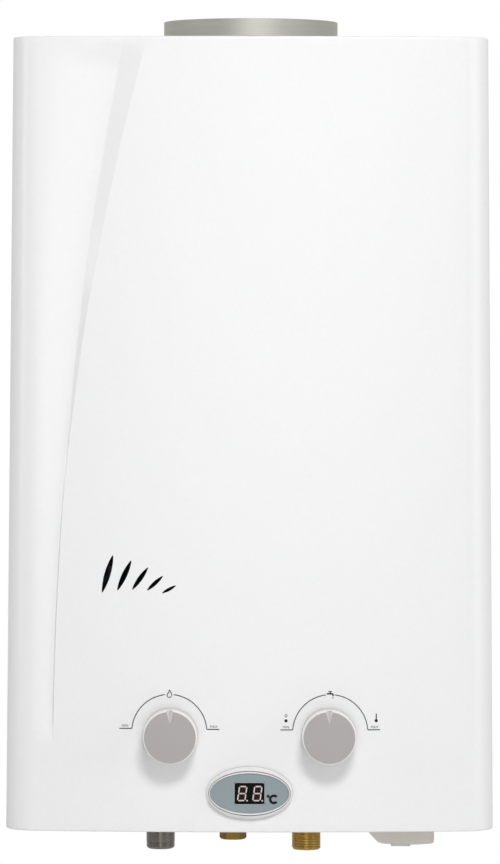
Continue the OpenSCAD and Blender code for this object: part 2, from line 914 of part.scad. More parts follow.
// Pipe stub with its flange on the bottom panel and its threaded end below the cover
module pipe_stub(x, y) {
    r = thread_d / 2;
    neck = r - 0.8;
    z_end = thread_top - thread_l - stub_end;
    translate([x, y, 0]) rotate_extrude() polygon([
        [stub_bore_d / 2, stub_top], [stub_socket_d / 2, stub_top],
        [stub_socket_d / 2, floor_z + stub_flange_t], [r + 3.5, floor_z + stub_flange_t],
        [r + 3.5, floor_z], [neck, floor_z], [neck, thread_top], [r, thread_top],
        [r, z_end + stub_end], [r - stub_end, z_end], [stub_bore_d / 2, z_end]
    ]);
}

module hot_outlet() {
    color("dimgray") pipe_stub(hot_x, hot_pipe_y);
}

module cold_inlet() {
    color("darkgoldenrod") pipe_stub(cold_x, y_valve);
}

module gas_inlet() {
    z_end = z_bot - gas_drop;
    hex_l = 11;
    hex_r = gas_af / 2 / cos(30);
    stem_d = gas_af - 1;
    core_d = gas_bore_d - 3;
    chamfer = 1;
    color("darkgoldenrod")
    translate([gas_x, y_valve, 0]) difference() {
        union() {
            intersection() {
                translate([0, 0, z_end]) cylinder(r = hex_r, h = hex_l, $fn = 6);
                translate([0, 0, z_end])
                    cylinder(r1 = hex_r - chamfer, r2 = hex_r - chamfer + hex_l, h = hex_l);
            }
            translate([0, 0, z_end + eps]) cylinder(d = stem_d, h = stub_top - z_end - eps);
            translate([0, 0, floor_z]) cylinder(r = hex_r + 3, h = stub_flange_t);
        }
        translate([0, 0, z_end - eps]) cylinder(d = gas_bore_d, h = gas_bore_l + eps);
        translate([0, 0, z_end]) cylinder(d = core_d, h = stub_top - z_end + eps);
    }
}

module union_nut() {
    nut_l = 12;
    nut_af = pipe_d + 8;
    start = x_water + water_block_r + nut_seat;
    color("goldenrod")
    difference() {
        translate([start, riser_y, riser_z]) rotate([0, 90, 0])
            cylinder(d = nut_af / cos(30), h = nut_l, $fn = 6);
        rod_x(riser_y, riser_z, start - eps, start + nut_l + eps, pipe_d + 2 * tube_slack);
    }
}

// Rectangular ring of sheet, open up and down
module sheet_ring(w, d, wall, z0, h) {
    translate([0, y_hx, z0]) linear_extrude(h) difference() {
        square([w, d], center = true);
        square([w - 2 * wall, d - 2 * wall], center = true);
    }
}

module burner_frame() {
    front_open = 28;
    cheek_h = 30;
    flange_x = hx_w + 2 * flange_w;
    flange_y = hx_d + 2 * flange_w;
    color("darkgray")
    difference() {
        union() {
            sheet_ring(burner_w, burner_d, burner_t, z_burner, burner_h);
            translate([0, y_hx, z_hx - burner_t]) linear_extrude(burner_t) difference() {
                square([flange_x, flange_y], center = true);
                square([burner_w - 2 * burner_t, burner_d - 2 * burner_t], center = true);
            }
            for (s = [-1, 1])
                translate([-burner_w / 2, y_hx + s * burner_d * 0.3 - rail_w / 2, z_burner])
                    cube([burner_w, rail_w, rail_t]);
            both_sides()
                translate([burner_w / 2 - burner_t, manifold_y - manifold_s / 2, z_burner])
                    cube([burner_t, burner_front - manifold_y + manifold_s / 2 + eps, cheek_h]);
        }
        translate([-burner_w / 2 + burner_t, burner_front - eps, z_burner - eps])
            cube([burner_w - 2 * burner_t, burner_t + 2 * eps, front_open + eps]);
    }
}

// Pressed burner bar: air duct below, return bend at the rear, flame ports on top
module burner_bar() {
    front = burner_front + burner_t + 0.5;
    rear = y_hx + burner_d / 2 - burner_t - 3;
    z0 = z_burner + rail_t;
    duct_h = 19;
    seam_h = 2.5;
    seam_end = rear - 26;
    port_n = 10;
    port_w = 1.6;
    port_d = 4;
    port_pitch = (rear - front - 10) / port_n;
    difference() {
        rotate([90, 0, 90]) linear_extrude(bar_w, center = true) difference() {
            translate([(front + rear) / 2, z0 + bar_h / 2]) round_rect(rear - front, bar_h, 3);
            translate([front - eps, z0 + duct_h]) square([seam_end - front + eps, seam_h]);
            translate([seam_end, z0 + duct_h + seam_h / 2]) circle(d = seam_h);
        }
        rod_y(0, mouth_z, front - eps, front + 40, mouth_d);
        for (i = [0 : port_n - 1])
            translate([-bar_w / 2 + 2, front + 8 + i * port_pitch, z0 + bar_h - port_d])
                cube([bar_w - 4, port_w, port_d + eps]);
    }
}

module at_bars() {
    for (i = [0 : bar_n - 1]) translate([(i - (bar_n - 1) / 2) * bar_pitch, 0, 0]) children();
}

module burner_bars() {
    color("slategray") at_bars() burner_bar();
}

module gas_manifold() {
    length = burner_w - 2 * burner_t;
    bottom = mouth_z - manifold_s / 2;
    feed_run = z_knob + 46;
    feed_bend = 12;
    feed = [
        [x_gas, feed_y, feed_top], [x_gas, feed_y, feed_run],
        [x_gas, manifold_y, feed_run], [x_gas, manifold_y, bottom]
    ];
    color("lightgray")
    difference() {
        union() {
            translate([0, manifold_y, mouth_z]) rotate([90, 0, 90])
                linear_extrude(length, center = true) round_rect(manifold_s, manifold_s, 2);
            bent_rod(feed, feed_d, feed_bend);
        }
        translate([0, manifold_y, mouth_z]) rotate([90, 0, 90])
            linear_extrude(length - 2 * manifold_t, center = true)
                round_rect(manifold_s - 2 * manifold_t, manifold_s - 2 * manifold_t, 1);
        bent_rod(run_on(feed, manifold_t + eps), feed_d - 2 * pipe_t, feed_bend);
        at_bars() rod_y(0, mouth_z, manifold_y, manifold_rear + eps, 3);
    }
}

module gas_jets() {
    base_l = 4;
    color("goldenrod")
    at_bars() difference() {
        union() {
            translate([0, manifold_rear, mouth_z]) rotate([-90, 0, 0])
                cylinder(d = 8, h = base_l, $fn = 6);
            rod_y(0, mouth_z, manifold_rear, manifold_rear + jet_l, 5);
        }
        rod_y(0, mouth_z, manifold_rear - eps, manifold_rear + jet_l + eps, 1.2);
    }
}

// Boss and gland on the front of a valve, bored for its spindle
module spindle_boss(x) {
    rod_y(x, z_knob, gas_block_front - boss_l, gas_block_front + eps, boss_d);
    rod_y(x, z_knob, gland_y, gas_block_front, gland_d);
}

module spindle_bore(x) {
    rod_y(x, z_knob, gland_y - eps, gland_y + spindle_in, spindle_d + 2 * run_gap);
}

module gas_valve_body() {
    block_x = x_gas + (gas_block_r - gas_block_l) / 2;
    arm_x0 = x_gas + arm_left;
    arm_x1 = gas_x + arm_right;
    arm_top = z_knob - gas_block_h / 2 + arm_lap;
    rib_t = 2;
    rib_in = 6;
    feed_wall = 4;
    feed_depth = 10;
    color("lightgray")
    difference() {
        union() {
            translate([block_x, 0, z_knob])
                forward(valve_rear, valve_rear - gas_block_front)
                    round_rect(gas_block_l + gas_block_r, gas_block_h, 7);
            for (s = [-1, 1]) translate([block_x, 0, z_knob + s * gas_block_h / 4])
                forward(valve_rear - rib_in, valve_rear - gas_block_front - 2 * rib_in)
                    square([gas_block_l + gas_block_r + 2 * rib_t, rib_t], center = true);
            translate([(arm_x0 + arm_x1) / 2, y_valve, stub_top])
                linear_extrude(arm_top - stub_top) round_rect(arm_x1 - arm_x0, 2 * arm_half, 6);
            spindle_boss(x_gas);
            rod_z(x_gas, feed_y, z_knob, feed_top, feed_d + 2 * feed_wall);
            rod_x(y_valve, z_knob, x_gas, gas_neck_x, 2 * rod_neck_r);
        }
        spindle_bore(x_gas);
        rod_x(y_valve, z_knob, gas_neck_x - rod_bore_l, gas_neck_x + eps, rod_d + 2 * run_gap);
        rod_z(x_gas, feed_y, feed_top - feed_depth, feed_top + eps, feed_d - 2 * pipe_t);
    }
}

module solenoid_valve() {
    face = x_gas - gas_block_l - 2;
    flange_t = 3;
    cap_l = 4;
    color("dimgray") {
        difference() {
            union() {
                rod_x(y_valve, z_knob, face - flange_t, face, solenoid_d + 6);
                rod_x(y_valve, z_knob, face - solenoid_l, face, solenoid_d);
                rod_x(y_valve, z_knob, face - solenoid_l - cap_l, face, solenoid_d - 8);
            }
            rod_x(y_valve, z_knob, face - solenoid_l - cap_l - eps, face - solenoid_l, 6);
        }
    }
}

module at_bolts() {
    for (i = [0 : bolt_n - 1]) {
        a = i * 360 / bolt_n;
        translate([0, y_valve + bolt_circle_r * cos(a), z_knob + bolt_circle_r * sin(a)])
            rotate([0, 90, 0]) children();
    }
}

module bolt_holes(x0, x1) {
    at_bolts() translate([0, 0, x0]) cylinder(d = bolt_d + 2 * tube_slack, h = x1 - x0);
}

module water_valve_body() {
    lap = 4;
    port_wall = 3;
    port_in = 12;
    inlet_wall = 2;
    inlet_top = z_knob - housing_r + 14;
    block_x0 = body_x + housing_t - lap;
    block_x1 = x_water + water_block_r;
    color("khaki")
    difference() {
        union() {
            rod_x(y_valve, z_knob, body_x, body_x + housing_t, 2 * housing_r, $fn = 96);
            translate([(block_x0 + block_x1) / 2, 0, z_knob])
                forward(valve_rear, valve_rear - gas_block_front)
                    round_rect(block_x1 - block_x0, water_block_h, 8);
            spindle_boss(x_water);
            rod_z(cold_x, y_valve, stub_top, z_knob, thread_d + 2 * inlet_wall);
            rod_x(riser_y, riser_z, block_x1 - lap, block_x1 + nut_seat, pipe_d + 2 * port_wall);
        }
        spindle_bore(x_water);
        rod_x(riser_y, riser_z, block_x1 - port_in, block_x1 + nut_seat + eps, pipe_d - 2 * pipe_t);
        rod_z(cold_x, y_valve, stub_top - eps, inlet_top, stub_bore_d);
        bolt_holes(body_x - eps, body_x + housing_t + bolt_reach);
    }
}

module water_valve_cap() {
    color("khaki")
    difference() {
        union() {
            rod_x(y_valve, z_knob, cap_x, split_x, 2 * housing_r, $fn = 96);
            rod_x(y_valve, z_knob, cap_x - rod_neck_l, cap_x + eps, 2 * rod_neck_r);
        }
        rod_x(y_valve, z_knob, split_x - cavity_l, split_x + eps, 2 * cavity_r);
        rod_x(y_valve, z_knob, cap_x - rod_neck_l - eps, split_x, rod_d + 2 * run_gap);
        bolt_holes(cap_x - eps, split_x + eps);
    }
}

module diaphragm() {
    color("black")
    difference() {
        rod_x(y_valve, z_knob, split_x, body_x, 2 * housing_r, $fn = 96);
        bolt_holes(split_x - eps, body_x + eps);
    }
}

module valve_screws() {
    head_d = 7;
    head_h = 3;
    length = housing_t + diaphragm_t + bolt_reach;
    color("silver")
    at_bolts() translate([0, 0, cap_x - head_h]) {
        cylinder(d = head_d, h = head_h);
        cylinder(d = bolt_d, h = head_h + length);
    }
}

// Bridge behind both valves, with a leg and a foot at each end
module valve_bracket() {
    past_gas = 22;
    past_water = 20;
    x0 = x_gas - past_gas;
    x1 = x_water + past_water;
    t = 2;
    h = 24;
    foot = 14;
    color("lightslategray")
    translate([0, 0, z_knob - h / 2]) {
        translate([x0, valve_rear, 0]) cube([x1 - x0, t, h]);
        for (x = [x0, x1 - t]) translate([x, valve_rear, 0]) cube([t, -back_t - valve_rear, h]);
        translate([x0 - foot, -back_t - t, 0]) cube([foot + t, t, h]);
        translate([x1 - t, -back_t - t, 0]) cube([foot + t, t, h]);
    }
}

module pushrod() {
    tail = gas_neck_x - rod_in;
    plate_end = split_x - plate_gap;
    color("gainsboro") {
        rod_x(y_valve, z_knob, tail, plate_end, rod_d);
        rod_x(y_valve, z_knob, plate_end - plate_t, plate_end, 2 * plate_r);
        rod_x(y_valve, z_knob, collar_x, collar_x + collar_t, 2 * collar_r);
    }
}

module microswitch() {
    ear = 1;
    ear_r = 1.8;
    x0 = cap_x - switch_w;
    y0 = y_valve - switch_d / 2;
    color("firebrick")
    union() {
        translate([x0, y0, switch_z]) cube([switch_w, switch_d, switch_h]);
        for (y = [y0, y0 + switch_d - ear]) {
            rod_y(lever_pivot_x, lever_pivot_z, y, y + ear, 2 * ear_r);
            translate([lever_pivot_x, y, lever_pivot_z - ear_r])
                cube([x0 - lever_pivot_x + ear, ear, 2 * ear_r]);
        }
        rod_y(lever_pivot_x, lever_pivot_z, y0, y0 + switch_d, lever_pin_d);
    }
}

module microswitch_lever() {
    ear = 1;
    side_gap = 0.2;
    w = switch_d - 2 * ear - 2 * side_gap;
    y0 = y_valve - w / 2;
    foot_x = collar_x + collar_t + 0.5;
    color("silver")
    difference() {
        union() {
            rod_y(lever_pivot_x, lever_pivot_z, y0, y0 + w, 2 * lever_eye_r);
            forward(y0 + w, w) polygon([
                [lever_pivot_x - lever_eye_r, lever_pivot_z], [foot_x, lever_foot_z],
                [foot_x + lever_t, lever_foot_z], [lever_pivot_x - lever_eye_r + lever_t, lever_pivot_z]
            ]);
        }
        rod_y(lever_pivot_x, lever_pivot_z, y0 - eps, y0 + w + eps, lever_pin_d + 2 * run_gap);
    }
}

// Outline of a spindle's flatted end
module flatted(d, flat) {
    difference() {
        circle(d = d);
        translate([-d, d / 2 - flat]) square([2 * d, d]);
    }
}

// Spindle from inside its valve to the knob, flatted where the knob grips it
module spindle(x) {
    shoulder = y_knob + 6;
    translate([x, 0, z_knob]) {
        rod_y(0, 0, shoulder, gland_y + spindle_in - 2, spindle_d);
        forward(shoulder + eps, shoulder + eps - y_knob + tip_l) flatted(tip_d, tip_flat);
    }
}

module gas_spindle() {
    color("goldenrod") spindle(x_gas);
}

module water_spindle() {
    color("goldenrod") spindle(x_water);
}

// Knob with a hollow skirt, a gripping boss and a pointer groove in its face
module knob(x) {
    r = knob_d / 2;
    face_r = knob_face_d / 2;
    chamfer = 1.3;
    face_t = 4;
    grip_r = tip_d / 2 + 3;
    groove_depth = 1.4;
    grip_gap = 0.08;
    translate([x, y_knob, z_knob]) rotate([90, 0, 0]) difference() {
        rotate_extrude($fn = 96) polygon([
            [0, 1], [grip_r, 1], [grip_r, knob_h - face_t], [face_r - knob_wall, knob_h - face_t],
            [r - knob_wall, 0], [r, 0], [face_r, knob_h - chamfer], [face_r - chamfer, knob_h], [0, knob_h]
        ]);
        linear_extrude(tip_l + 1) flatted(tip_d + 2 * grip_gap, tip_flat);
        translate([0, face_r, knob_h]) rotate([90 - atan(groove_depth / pointer_l), 0, 0])
            translate([0, 0, -5]) linear_extrude(pointer_l + 5)
                polygon([[-pointer_w / 2, 0], [0, -groove_depth], [pointer_w / 2, 0], [0, 4]]);
    }
}

module gas_knob() {
    color("darkgray") knob(x_gas);
}

module water_knob() {
    color("darkgray") knob(x_water);
}

// Electrode rod through the chamber's front wall, with its tip turned down to the bars
module electrode(x) {
    tip = 10;
    turn = 4;
    bent_rod([
        [x, electrode_front, z_spark], [x, hx_front + electrode_reach, z_spark],
        [x, hx_front + electrode_reach, z_spark - tip]
    ], electrode_d, turn);
}

module spark_electrode() {
    color("silver") electrode(x_spark);
}

module flame_sensor() {
    color("silver") electrode(x_flame);
}

module electrode_insulators() {
    shoulder_d = 11;
    shoulder_l = 4;
    bare_end = 8;
    inside = 12;
    seat = hx_front - burner_t;
    color("white")
    for (x = [x_spark, x_flame]) difference() {
        union() {
            rod_y(x, z_spark, electrode_front + bare_end, hx_front + inside, ceramic_d);
            rod_y(x, z_spark, seat - shoulder_l, seat, shoulder_d);
        }
        rod_y(x, z_spark, electrode_front, hx_front + inside + eps, electrode_d + 2 * tube_slack);
    }
}

module electrode_bracket() {
    color("lightslategray")
    difference() {
        translate([plate_x, 0, z_spark]) forward(hx_front, burner_t) round_rect(plate_w, plate_h, 3);
        for (x = [x_spark, x_flame])
            rod_y(x, z_spark, hx_front - burner_t - eps, hx_front + eps, ceramic_d + 2 * tube_slack);
    }
}

module igniter_module() {
    socket_w = 16;
    socket_h = 10;
    socket_d = 4;
    below_middle = 8;
    corner = 3;
    color("dimgray")
    difference() {
        translate([lead_x, 0, igniter_z0 + igniter_h / 2])
            forward(-back_t, igniter_d) round_rect(igniter_w, igniter_h, corner);
        translate([lead_x - socket_w / 2, lead_front - eps, igniter_z0 + igniter_h / 2 - below_middle])
            cube([socket_w, socket_d + eps, socket_h]);
    }
}

module overheat_switch() {
    x = 62;
    below_fins = 14;
    z = z_hx + chamber_h - below_fins;
    can_d = 16;
    can_l = 9;
    tag = [0.8, 7, 6];
    tag_pitch = 7;
    tag_end = 15;
    color("black")
    translate([x, 0, z]) {
        forward(hx_front, sheet_t) round_slot(34, 14);
        rod_y(0, 0, hx_front - can_l, hx_front, can_d);
        for (s = [-1, 1])
            translate([s * tag_pitch / 2 - tag.x / 2, hx_front - tag_end, -tag.z / 2]) cube(tag);
    }
}

module water_sensor() {
    z = z_hx + 40;
    ring_d = pipe_d + 6;
    ring_h = 10;
    probe_d = 7;
    probe_l = 20;
    color("goldenrod")
    translate([hot_pipe_x, hot_pipe_y, z]) difference() {
        union() {
            cylinder(d = ring_d, h = ring_h);
            translate([0, 0, ring_h / 2]) rotate([90, 0, 0]) cylinder(d = probe_d, h = probe_l);
        }
        translate([0, 0, -eps]) cylinder(d = pipe_d + 2 * tube_slack, h = ring_h + 2 * eps);
    }
}

module lead(route) {
    bent_rod(route, lead_d, lead_bend);
}

module spark_lead() {
    y = electrode_front + lead_in;
    over_chamber = 44;
    z = z_hx + over_chamber;
    x = lead_x - spark_lane;
    color("orangered")
    lead([
        [x, lead_front, z], [x, y, z],
        [x_spark, y, z], [x_spark, y, z_spark + electrode_d / 2]
    ]);
}

module flame_lead() {
    y = electrode_front + lead_in;
    over_chamber = 34;
    z = z_hx + over_chamber;
    x = lead_x + spark_lane;
    color("white")
    lead([
        [x, lead_front, z], [x, y, z],
        [x_flame, y, z], [x_flame, y, z_spark + electrode_d / 2]
    ]);
}

module solenoid_lead() {
    past_block = 14;
    over_knob = 42;
    x = x_gas - gas_block_l - past_block;
    y = solenoid_lead_y;
    z = z_knob + over_knob;
    end_x = lead_x - lead_lane;
    color("black")
    lead([
        [x, y_valve, z_knob + solenoid_d / 2], [x, y_valve, z], [x, y, z],
        [end_x, y, z], [end_x, y, igniter_z0]
    ]);
}

module switch_lead() {
    over_knob = 50;
    x = cap_x - switch_w / 2;
    y = switch_lead_y;
    z = z_knob + over_knob;
    end_x = lead_x + lead_lane;
    color("black")
    lead([
        [x, y_valve, switch_z + switch_h], [x, y_valve, z], [x, y, z],
        [end_x, y, z], [end_x, y, igniter_z0]
    ]);
}

module battery_lead() {
    fore = 18;
    over_knob = 38;
    y = y_valve - fore;
    z = z_knob + over_knob;
    end_x = lead_x - lead_lane;
    color("red")
    lead([
        [battery_x, y, box_z1], [battery_x, y, z], [end_x, y, z],
        [end_x, battery_lead_y, z], [end_x, battery_lead_y, igniter_z0]
    ]);
}

module display_lead() {
    behind_front = 32;
    from_end = 10;
    over_igniter = 14;
    y = y_front + behind_front;
    x = board_w / 2 - from_end;
    z = igniter_z0 + over_igniter;
    end_x = lead_x - lead_lane;
    color("black")
    lead([
        [x, board_y + board_t, z_display], [x, y, z_display], [end_x, y, z_display],
        [end_x, y, z], [end_x, lead_front, z]
    ]);
}

module at_battery() {
    translate([battery_x, y_valve, 0]) children();
}

// One knuckle of the battery door's hinge, with a web back to its wall
module knuckle(y, l, web_x, web_z0, web_z1, slack) {
    difference() {
        union() {
            rod_y(hinge_x, hinge_z, y, y + l, 2 * knuckle_r);
            translate([web_x, y, web_z0]) cube([hinge_x - web_x, l, web_z1 - web_z0]);
        }
        rod_y(hinge_x, hinge_z, y - eps, y + l + eps, pin_d + 2 * slack);
    }
}

module battery_box() {
    flange = 5;
    flange_t = 2;
    wall_x = battery_x + box_w / 2 - box_wall / 2;
    rib_t = 1.6;
    color("gainsboro")
    union() {
        at_battery() difference() {
            union() {
                translate([0, 0, box_z0]) linear_extrude(box_z1 - box_z0) round_rect(box_w, box_d, 2);
                translate([0, 0, floor_z]) linear_extrude(flange_t)
                    round_rect(box_w + 2 * flange, box_d + 2 * flange, 3);
            }
            translate([0, 0, box_z0 - eps]) linear_extrude(box_z1 - box_wall - box_z0 + eps)
                square([box_w - 2 * box_wall, box_d - 2 * box_wall], center = true);
        }
        at_battery() translate([-box_w / 2 + box_wall / 2, -rib_t / 2, box_z1 - box_wall - 20])
            cube([box_wall, rib_t, 20]);
        knuckle(y_valve - knuckle_l / 2, knuckle_l, wall_x, box_z0, box_z0 + 2.4, run_gap);
    }
}

module battery_cells() {
    cap_d = 9.5;
    cap_l = 2;
    pitch = cell_d + cell_play;
    color("darkslategray")
    at_battery() for (s = [-1, 1]) translate([0, s * pitch / 2, cell_z]) {
        flip = s > 0 ? cell_l : 0;
        translate([0, 0, flip]) mirror([0, 0, s > 0 ? 1 : 0]) rotate_extrude() polygon([
            [0, 0], [cell_d / 2 - 1, 0], [cell_d / 2, 1], [cell_d / 2, cell_l - cap_l - 1],
            [cell_d / 2 - 1, cell_l - cap_l], [cap_d / 2, cell_l - cap_l], [cap_d / 2, cell_l], [0, cell_l]
        ]);
    }
}

module battery_contacts() {
    side = 20;
    pitch = cell_d + cell_play;
    color("silver")
    at_battery() for (s = [-1, 1])
        translate([0, s * pitch / 2, box_z1 - box_wall - contact_t])
            linear_extrude(contact_t) round_rect(side, side, 2);
}

module battery_door() {
    half = box_w / 2;
    inner_l = -half - door_lip + box_wall + 0.4;
    tab_w = 14;
    tab_d = 10;
    tab_h = 2;
    tab_x = 9;
    edge_r = 4.5;
    web_z0 = hinge_z - knuckle_r;
    wall_x = battery_x + half - box_wall / 2;
    color("gainsboro")
    union() {
        at_battery() difference() {
            forward(box_d / 2, box_d) polygon([
                [-half, door_z0], [half, door_z0], [half, door_z1], [-half - door_lip, door_z1]
            ]);
            forward(box_d / 2 - box_wall, box_d - 2 * box_wall) polygon([
                [-half + box_wall, door_z0 + box_wall], [half - box_wall, door_z0 + box_wall],
                [half - box_wall, door_z1 + eps], [inner_l, door_z1 + eps]
            ]);
            translate([half - edge_r, 0, door_z0 + edge_r]) difference() {
                translate([0, -box_d / 2 - eps, -edge_r - 1])
                    cube([edge_r + 1, box_d + 2 * eps, edge_r + 1]);
                rod_y(0, 0, -box_d / 2 - 1, box_d / 2 + 1, 2 * edge_r);
            }
        }
        at_battery() translate([-half + tab_x, -box_d / 2, door_z0 - tab_h])
            cube([tab_w, tab_d, tab_h + eps]);
        for (y = [-knuckle_l * 1.5 - knuckle_gap, knuckle_l / 2 + knuckle_gap])
            knuckle(y_valve + y, knuckle_l, wall_x, web_z0, door_z1, run_gap);
    }
}

// Strip on the door that joins the two cells, with a leaf under each
module door_contact() {
    pitch = cell_d + cell_play;
    strip_w = 14;
    strip_t = 0.8;
    floor = door_z0 + box_wall;
    leaf_top = cell_z - contact_gap;
    reach = 12;
    color("silver")
    at_battery() union() {
        translate([-strip_w / 2, -pitch / 2 - reach, floor]) cube([strip_w, pitch + 2 * reach, strip_t]);
        for (s = [-1, 1]) rotate([90, 0, 90]) linear_extrude(strip_w - 6, center = true)
            polygon([
                [s * (pitch / 2 - reach), floor], [s * (pitch / 2 + 2), leaf_top],
                [s * (pitch / 2 + 5), leaf_top], [s * (pitch / 2 + 5), leaf_top - strip_t],
                [s * (pitch / 2 + 2.4), leaf_top - strip_t], [s * (pitch / 2 - reach + 2), floor]
            ]);
    }
}

module hinge_pin() {
    reach = 1.5 * knuckle_l + knuckle_gap;
    color("silver") rod_y(hinge_x, hinge_z, y_valve - reach, y_valve + reach, pin_d);
}

module at_display() {
    translate([0, 0, z_display]) children();
}

module display_bezel() {
    color("white")
    at_display() difference() {
        union() {
            hull() {
                forward(y_front, 0.5) oval(bezel_w, bezel_h);
                forward(y_front - bezel_d + 0.5, 0.5)
                    oval(bezel_w - 2 * bezel_slope, bezel_h - 2 * bezel_slope);
            }
            forward(board_y, neck_l + eps) oval(neck_w, neck_h);
        }
        forward(panel_y, 20) oval(panel_w, panel_h);
        forward(board_y + eps, 40) oval(neck_w - 2 * neck_wall, neck_h - 2 * neck_wall);
    }
}

module display_panel() {
    slack = 2 * display_gap;
    color("lightslategray")
    at_display() forward(panel_y, panel_t) difference() {
        oval(panel_w - slack, panel_h - slack);
        square([window_w + slack, window_h + slack], center = true);
    }
}

module display_module() {
    color("black")
    at_display() forward(board_y, board_y - panel_y + panel_t) round_rect(window_w, window_h, 1);
}

module display_board() {
    color("darkgreen")
    at_display() forward(board_y + board_t, board_t) round_rect(board_w, board_h, 2);
}

back_plate();
front_cover();
top_panel();
bottom_panel();
cover_screws();
flue_collar();
draft_hood();
chamber_shell();
fin_pack();
exchanger_tubes();
chamber_coil();
exchanger_brackets();
cold_riser();
hot_pipe();
hot_outlet();
cold_inlet();
gas_inlet();
union_nut();
burner_frame();
burner_bars();
gas_manifold();
gas_jets();
gas_valve_body();
solenoid_valve();
water_valve_body();
water_valve_cap();
diaphragm();
valve_screws();
valve_bracket();
pushrod();
microswitch();
microswitch_lever();
gas_spindle();
water_spindle();
gas_knob();
water_knob();
spark_electrode();
flame_sensor();
electrode_insulators();
electrode_bracket();
igniter_module();
overheat_switch();
water_sensor();
spark_lead();
flame_lead();
solenoid_lead();
switch_lead();
battery_lead();
display_lead();
battery_box();
battery_cells();
battery_contacts();
battery_door();
door_contact();
hinge_pin();
display_bezel();
display_panel();
display_module();
display_board();
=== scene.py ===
"""Looks of a wall-hung gas water heater, dressed over its CAD frame.

Lengths are in millimetres and become metres where a mesh or a node takes them. Only the floor, the
lights and the camera are placed in metres.
"""
import json
import math

import bmesh
import bpy
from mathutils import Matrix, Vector

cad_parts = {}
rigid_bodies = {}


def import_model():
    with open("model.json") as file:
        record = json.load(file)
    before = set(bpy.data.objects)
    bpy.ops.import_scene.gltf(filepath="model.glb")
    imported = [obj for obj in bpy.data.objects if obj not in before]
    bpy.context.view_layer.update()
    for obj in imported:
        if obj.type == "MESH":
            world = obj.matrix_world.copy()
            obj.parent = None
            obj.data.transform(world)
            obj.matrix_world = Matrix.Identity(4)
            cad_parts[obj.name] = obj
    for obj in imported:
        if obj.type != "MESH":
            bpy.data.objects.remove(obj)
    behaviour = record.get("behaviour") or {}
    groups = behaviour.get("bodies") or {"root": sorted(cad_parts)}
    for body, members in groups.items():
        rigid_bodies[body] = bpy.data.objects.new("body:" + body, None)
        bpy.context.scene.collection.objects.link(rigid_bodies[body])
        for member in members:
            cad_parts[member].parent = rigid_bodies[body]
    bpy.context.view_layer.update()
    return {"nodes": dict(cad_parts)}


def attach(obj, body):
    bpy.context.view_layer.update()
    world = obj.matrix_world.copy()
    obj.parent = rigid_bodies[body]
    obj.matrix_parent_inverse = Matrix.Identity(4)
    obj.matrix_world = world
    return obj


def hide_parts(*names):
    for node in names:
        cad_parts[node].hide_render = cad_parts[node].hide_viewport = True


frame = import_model()

MM = 0.001
SHELF = bpy.context.scene.collection.objects

# Casing
HALF_W = 175.0
Z_BOT = -284.0
Z_TOP = 284.0
TAPER = math.radians(0.4287)
FRONT = -170.0
BOW_R = 1467.06
BOW_Y = FRONT + BOW_R
CORNER_X = 153.0
CORNER_R = 22.0
CORNER_SWING = math.asin(CORNER_X / (BOW_R - CORNER_R))
SHEET = 1.2
LIP = 14.0
EDGE_R = 1.3
WALL_GAP = 0.5
# Places of the columns of each side, from the wall to the front corner
SIDE_Y = (-WALL_GAP, -3.0, -40.0, -80.0, -115.0, -134.0)
# Heights over the front between which its holes are cut
CUT_LOW = -15.0
CUT_HIGH = 8.0

# Pressed crease of the front: two arcs from one foot up to the upper edge, bowed to the left
CREASE_FOOT = Vector((-141.3, -217.0))
CREASE_LEFT = Vector((-90.5, Z_TOP))
CREASE_RIGHT = Vector((-73.5, Z_TOP))
CREASE_LEFT_SAG = 11.4
CREASE_RIGHT_SAG = 16.9
# Lengths over which the step fades out at its foot and at the upper edge
CREASE_FADE = 10.0
CREASE_HEAD = 24.0
# Depth of the step: the most, the least, and the gain for each mm of the facet's width
CREASE_DEPTH = 3.8
CREASE_DEPTH_LEAST = 1.3
CREASE_DEPTH_GAIN = 0.62
# Least width of the facet, depth of the fold at its narrow end, and the width at which the fold is gone
CREASE_WIDTH_LEAST = 0.9
CREASE_FOLD = 1.8
CREASE_FOLD_END = 4.0
# Columns of the facet in shares of its width, with a close pair at each edge, and the hem beside it
CREASE_STEPS = (0.0, 0.06, 0.12, 0.5, 0.88, 0.94, 1.0)
CREASE_HEM = 0.5

# Leaf-shaped viewing slots: the first one, and what changes from slot to slot
LEAF_N = 5
LEAF_X = -101.6
LEAF_Z = -100.0
LEAF_PITCH = 12.3
LEAF_PITCH_LOSS = 0.33
LEAF_DROP = 0.5
LEAF_DROP_GAIN = 0.55
LEAF_LONG = 27.2
LEAF_LONG_LOSS = 4.0
LEAF_WIDE = 4.5
LEAF_WIDE_LOSS = 0.55
LEAF_LEAN = 16.0
LEAF_LEAN_STEP = 8.0
LEAF_LEAN_GAIN = 0.8
# Length of the pointed leaf that a blunt one is cut from, over the blunt one's
LEAF_POINTED = 1.1

# Knobs
KNOB_X = 56.5
KNOB_Z = -214.4
KNOB_Y = -170.73
KNOB_R = 19.25
KNOB_FACE_R = 18.65
KNOB_H = 20.0
KNOB_HOLLOW = 16.0
KNOB_WALL = 2.0
SPINDLE_HOLE_R = 9.0

# Display
DISPLAY_Z = -255.6
BEZEL_HALF = (31.0, 18.8)
PANEL_HALF = (28.2, 14.2)
NECK_HALF = (27.2, 13.2)
PANEL_FRONT = -175.0
WINDOW_HALF = (10.7, 7.6)
WINDOW_R = 1.5
# Digits: places across, half sizes of one digit's mask, and the slant that they lean by
DIGIT_X = (-5.2, 5.6)
DIGIT_HALF = (3.0, 5.2)
DIGIT_SLANT = math.tan(math.radians(8.0))
# Thickness of ink and of films
FILM = 0.06

